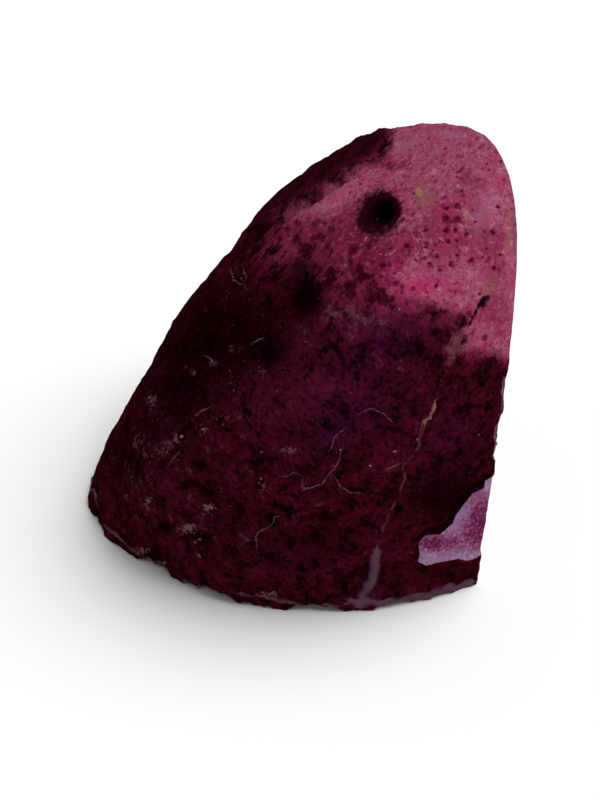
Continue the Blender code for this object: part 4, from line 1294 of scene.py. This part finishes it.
def roughenRind(mesh):
    # relief, pits and the flake
    points, normals = getPoints(mesh), getNormals(mesh)
    facing, pixels = cameraFacing(points, normals), toPixels(points)
    dents = makeDents(points, normals, pixels, facing)
    relief = noiseSum(points, stone["relief"])
    near = smooth(*stone["nearFacing"], facing)
    skin = insideOutline(pixels, markings["pale"]) / pixelsPerMm
    relief *= 1.0 - (1.0 - stone["smoothSkin"]) * smooth(*stone["skinEdge"], skin) * near
    # the relief is kept for the painted light on its lumps and the painted shade in its hollows
    saveAttribute(mesh, "lump", relief / stone["lumpHeight"])
    flake = insideOutline(pixels, markings["flake"]) / pixelsPerMm
    shallow, deep = stone["flakeDeep"]
    sink = shallow + (deep - shallow) * smooth(*stone["flakeSlope"], pixels[:, 0])
    sink *= smooth(0.0, stone["flakeStep"], flake)
    lost, within = stone["flakeCalm"]
    relief = relief * (1.0 - lost * near * smooth(0.0, within, flake)) - sink * near
    points, inside = pressDents(points + normals * relief[:, None], dents)
    setPoints(mesh, points)
    saveAttribute(mesh, "pit", inside)
    print("relief and", len(dents), "pits")


def sawRind(mesh):
    # the two saw cuts, and a finer edge between them
    for place, outward in (((0.0, nodule["faceY"], 0.0), (0, -1, 0)),
                           ((0.0, 0.0, nodule["baseZ"]), (0, 0, -1))):
        startEdit(mesh, "FACE")
        bpy.ops.mesh.bisect(plane_co=place, plane_no=outward, use_fill=True, clear_outer=True,
                            threshold=0.001)
        endEdit()
    onFace, onBase = onCuts(getPoints(mesh))
    onBoth = onFace & onBase
    pairs = np.empty(len(mesh.edges) * 2, dtype=np.int32)
    mesh.edges.foreach_get("vertices", pairs)
    startEdit(mesh, "EDGE", onBoth[pairs.reshape(-1, 2)].all(1))
    bpy.ops.mesh.subdivide(number_cuts=stone["lowEdge"])
    endEdit()


def makeStone():
    deselectAll()
    bpy.ops.mesh.primitive_cube_add(size=2.0)
    piece = bpy.context.object
    piece.name = piece.data.name = "agateStone"
    shapeRind(piece.data)
    roughenRind(piece.data)
    sawRind(piece.data)
    closeFace(piece.data)
    closeBase(piece.data)
    tellSides(piece.data)
    print("sawn and hollowed", len(piece.data.vertices), "points")
    breakEdges(piece.data)
    return piece


# How the near side's markings give way to noise on the far side.
fading = {
    # how squarely the stone faces the camera where markings fade in, and where those do
    # that would be drawn out along the stone
    "seen": (-0.08, 0.04), "plain": (0.05, 0.15),
    "gap": 40.0,                       # mm that are added to the distance from lines and specks
    # the far side's pale top, paler dye with painted light on the upper faces: its lowest
    # height, how far noise moves that, the width and seed of the noise, and how fast it turns pale
    "top": (79.0, 4.0, 11.0, 4.4, 0.7),
    # where the pale facet's edge is soft: x, y, half width, half height, strength
    "softEdge": [(330.0, 250.0, 60.0, 40.0, 2.5)],
    # patches of the other values: width of their noise, the step between its seeds, from,
    # to, strength
    "patches": (12.0, 3.3, 0.05, 0.5, 0.7),
    # how far noise bends the lines in pixels, its width in mm and its two seeds
    "shake": (3.0, 2.2, (9.0, 5.0)),
    # the ledge's tint is painted shade, with darker dye
    "ledge": (-1.5, 1.0),              # mm across the ledge, from bare to fully tinted
}


def columnPlaces(points):
    # round the hollow, for the quartz columns: distance from its outline, and place along it
    middle, angles = np.array(hollow["centre"]), hollowAngles(points)
    off = points - middle
    outline = np.hypot(*(hollowRim(angles) - middle)[:, (0, 2)].T)
    return {"rimGap": np.hypot(off[:, 0], off[:, 2]) - outline,
            "aroundX": np.cos(angles) * outline, "aroundZ": np.sin(angles) * outline}


def markStone(piece):
    # save what each point is worth to the materials
    points = getPoints(piece.data)
    pixels = toPixels(points)
    facing = cameraFacing(points, plainNormals(points))
    seen, plain = smooth(*fading["seen"], facing), smooth(*fading["plain"], facing)
    gap, plainGap = (1.0 - seen) * fading["gap"], (1.0 - plain) * fading["gap"]
    fields = columnPlaces(points)
    fields["shell"] = depthInside(points)
    fields["flake"] = insideOutline(pixels, markings["flake"]) / pixelsPerMm - gap
    lowest, stray, width, seed, slope = fading["top"]
    top = (points[:, 2] - lowest + stray * noiseAt(points, width, seed)) * slope
    pale = insideOutline(pixels, markings["pale"]) / pixelsPerMm
    pale /= 1.0 + softSpots(pixels, fading["softEdge"])
    fields["pale"] = pale * seen + top * (1.0 - seen)
    width, seedStep, low, high, strength = fading["patches"]
    for number, name in enumerate(("dark", "shade", "purple", "maroon", "dusty", "speckle",
                                   "lilac", "tan", "magenta", "fresh", "mottled")):
        near = softSpots(pixels, markings[name])
        far = smooth(low, high, noiseAt(points, width, seedStep * number)) * strength
        fields[name] = near * seen + far * (1.0 - seen)
    for name in ("flakeCore", "flakeWhite", "clumps", "amber"):
        fields[name] = softSpots(pixels, markings[name]) * (plain if name == "clumps" else seen)
    bend, width, seeds = fading["shake"]
    shaky = pixels + np.stack([noiseAt(points, width, seed) for seed in seeds], 1) * bend
    for name in lineNames:
        lines = lineGaps(shaky, markings[name])
        away = plainGap if name == "scratches" else gap
        fields[name] = np.where(lines < 0.0, lines - away, lines + away)
    for name in ("specks", "blots"):
        nearest = np.full(len(points), np.inf)
        for x, y, width in markings[name]:
            nearest = np.minimum(nearest, np.hypot(pixels[:, 0] - x, pixels[:, 1] - y) - width / 2)
        fields[name] = nearest / pixelsPerMm + gap
    _, off, inside, _ = ledgePlace(points)
    fields["ledge"] = inside * smooth(*fading["ledge"], off)
    for name, values in fields.items():
        saveAttribute(piece.data, name, values)
    print("stone marked with", len(fields), "values")


crust = {
    "gap": 0.06,                       # between the hollow's wall and the crust
    "thick": 3.1,                      # from the hollow's wall to the crystals' feet
    # how far noise moves the rim's inner edge and the inner wall, its width and seed
    "rimRagged": (1.5, 1.6, 3.9), "ripple": (0.5, 5.0, 7.7),
    "rippleAt": 20.0,                  # the distance at which the ripple is as wide as that
    "around": 150, "rings": 14,
    # how many over a whole ball, least and most half width, least height, and the most that
    # the first one has; each later one is at most as tall as the one before is long
    "crystals": [(560, 1.25, 2.1, 1.9, 4.3), (2300, 0.5, 1.05, 0.7, 2.3)],
    "sunk": 1.0,                       # how far the crystals' feet are buried
    "nudge": 0.05, "tilt": 0.22,       # how far they stray from even places and upright
    "behindFace": 0.15,                # how far they stay behind the polished face
    "narrowed": 0.95,                  # share of a crystal's half width that is held to that
    # a crystal's shape: its tip's foot as a share of its width, and three places of its tip
    "shoulder": 0.94, "tips": ((0.05, 0.0), (0.22, 0.12), (-0.18, 0.2)),
}


def innerReach(rays):
    # from the hollow's centre to the crust's inner wall
    amount, width, seed = crust["ripple"]
    return hollowReach(rays) - crust["thick"] + amount * noiseAt(rays * crust["rippleAt"], width, seed)


def outerReach(rays):
    return hollowReach(rays) - crust["gap"]


def crystalMaster(tip):
    # one quartz point, 2 mm across and 2 mm tall, its tip a little off centre
    deselectAll()
    bpy.ops.mesh.primitive_cylinder_add(vertices=6, radius=1.0, depth=1.0, location=(0.0, 0.0, 0.5))
    bpy.ops.object.transform_apply(location=True)
    master = bpy.context.object
    mesh = master.data
    narrow = np.array([crust["shoulder"], crust["shoulder"], 1.0])
    cap = pushCap(mesh, capOf(mesh, (0, 0, 1)), lambda points: points * narrow)
    closeCap(mesh, cap, (*tip, 2.0))
    saveAttribute(mesh, "tip", getPoints(mesh)[:, 2] / 2.0)
    return master


def growCrystals(masters):
    # copies of the masters all over the crust's inner wall
    dice = random.Random(21)
    copies = []
    for count, narrow, wide, short, limit in crust["crystals"]:
        for number in range(count):
            # evenly spread directions, each nudged a little
            up = 1.0 - 2.0 * (number + 0.5) / count
            turn, level = number * math.pi * (3.0 - math.sqrt(5.0)), math.sqrt(1.0 - up * up)
            ray = Vector((math.cos(turn) * level, math.sin(turn) * level, up))
            nudge, tilt = crust["nudge"], crust["tilt"]
            ray = (ray + Vector([dice.uniform(-nudge, nudge) for _ in range(3)])).normalized()
            lean = (-ray + Vector([dice.uniform(-tilt, tilt) for _ in range(3)])).normalized()
            half = dice.uniform(narrow, wide)
            length = limit = dice.uniform(short, limit) + crust["sunk"]
            spin, master = dice.uniform(0.0, 360.0), dice.choice(masters)
            reach = innerReach(np.array([ray]))[0] + crust["sunk"]
            foot = Vector(hollow["centre"]) + ray * reach
            tip = foot + lean * length
            lowest = min(foot.y, tip.y) - half * crust["narrowed"]
            if lowest < nodule["faceY"] + crust["behindFace"]:
                continue
            matrix = Matrix.Translation(foot) @ lean.to_track_quat("Z", "Y").to_matrix().to_4x4()
            matrix = matrix @ Matrix.Rotation(math.radians(spin), 4, "Z")
            matrix = matrix @ Matrix.Diagonal((half, half, length / 2.0, 1.0))
            copy = master.copy()
            copy.data = master.data.copy()
            copy.data.transform(matrix)
            bpy.context.collection.objects.link(copy)
            copies.append(copy)
    return copies


def makeCrust():
    # the crust itself: a rim flush with the polished face, then an inner and an outer wall
    deselectAll()
    bpy.ops.mesh.primitive_circle_add(vertices=crust["around"], fill_type="NGON")
    piece = bpy.context.object
    piece.name = piece.data.name = "quartzCrust"
    mesh = piece.data
    flat = getPoints(mesh)
    setPoints(mesh, hollowRim(np.arctan2(flat[:, 1], flat[:, 0]), crust["gap"]))

    # the rim's inner edge is jagged where the first crystals start
    amount, width, seed = crust["rimRagged"]
    cap = pushCap(mesh, 0, lambda points: hollowRim(
        hollowAngles(points), crust["thick"] + amount * noiseAt(points, width, seed)))
    closeBowl(mesh, cap, innerReach, crust["rings"])
    startEdit(mesh, "VERT", np.arange(len(mesh.vertices)) < crust["around"])
    bpy.ops.mesh.edge_face_add()
    endEdit()
    cap = int(np.argmax(getPolygons(mesh, "loop_total")))
    closeBowl(mesh, cap, outerReach, crust["rings"])
    startEdit(mesh, "FACE")
    bpy.ops.mesh.normals_make_consistent(inside=False)
    endEdit()
    saveAttribute(mesh, "tip", np.zeros(len(mesh.vertices)))

    masters = [crystalMaster(tip) for tip in crust["tips"]]
    copies = growCrystals(masters)
    deselectAll()
    for copy in copies:
        copy.select_set(True)
    piece.select_set(True)
    bpy.context.view_layer.objects.active = piece
    bpy.ops.object.join()
    for master in masters:
        bpy.data.objects.remove(master)
    print("crust with", len(copies), "crystals")
    return piece


def fitToBox(meshes, low, high):
    # bring millimetres to metres, and the stone, which is about 1% bigger, to the CAD solid's box
    ownLow, ownHigh = getPoints(meshes[0]).min(0), getPoints(meshes[0]).max(0)
    scale = (np.array(high) - np.array(low)) / (ownHigh - ownLow)
    print("own size", ownHigh - ownLow, "scale", scale)
    for mesh in meshes:
        setPoints(mesh, np.array(low) + (getPoints(mesh) - ownLow) * scale)


lights = {
    "room": 0.35, "backdrop": 0.97,    # how bright the room is, and how bright it looks
    # a very wide, even lamp: where it shines from, its width in degrees, its power
    "place": (-0.30, -0.55, 1.2), "width": 54.0, "power": 2.85,
}


def makeLights():
    world = bpy.data.worlds.new("paleRoom")
    bpy.context.scene.world = world
    world.use_nodes = True
    tree = world.node_tree
    ray = addNode(tree, "LightPath").outputs["Is Camera Ray"]
    strength = addNode(tree, "MapRange", (), {
        "Value": ray, "To Min": lights["room"], "To Max": lights["backdrop"]}).outputs[0]
    setInputs(tree, tree.nodes["Background"], {"Strength": strength, "Color": (1.0, 1.0, 1.0, 1.0)})
    bpy.ops.object.light_add(type="SUN", location=lights["place"])
    lamp = bpy.context.object
    lamp.name = "keyLight"
    lamp.data.angle = math.radians(lights["width"])
    lamp.data.energy = lights["power"]
    lamp.rotation_euler = (-Vector(lights["place"])).to_track_quat("-Z", "Y").to_euler()


def makeFloor():
    # plain matt paint
    bpy.ops.mesh.primitive_plane_add(size=8.0)
    floor = bpy.context.object
    floor.name = "paleFloor"
    material, tree, shader = startMaterial("paleFloorPaint")
    setInputs(tree, shader, {"Base Color": (0.9, 0.9, 0.9, 1.0), "Roughness": 0.8,
                             "Specular IOR Level": 0.1})
    floor.data.materials.append(material)


def main():
    makeCamera()
    makeFloor()
    makeLights()
    bpy.context.scene.view_settings.view_transform = "Standard"
    piece = makeStone()
    for material in (makeRind(), makeFace(), makeBase()):
        piece.data.materials.append(material)
    markStone(piece)
    lining = makeCrust()
    lining.data.materials.append(makeQuartz())
    fitToBox((piece.data, lining.data), *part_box("agate_half"))
    piece.data.shade_smooth()
    for made, node, slot in ((piece, "agate_half", "agate"), (lining, "crystal_crust", "quartz")):
        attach(made, "root")
        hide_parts(node)
        print(made.name, sum(len(p.vertices) - 2 for p in made.data.polygons), "triangles")


main()
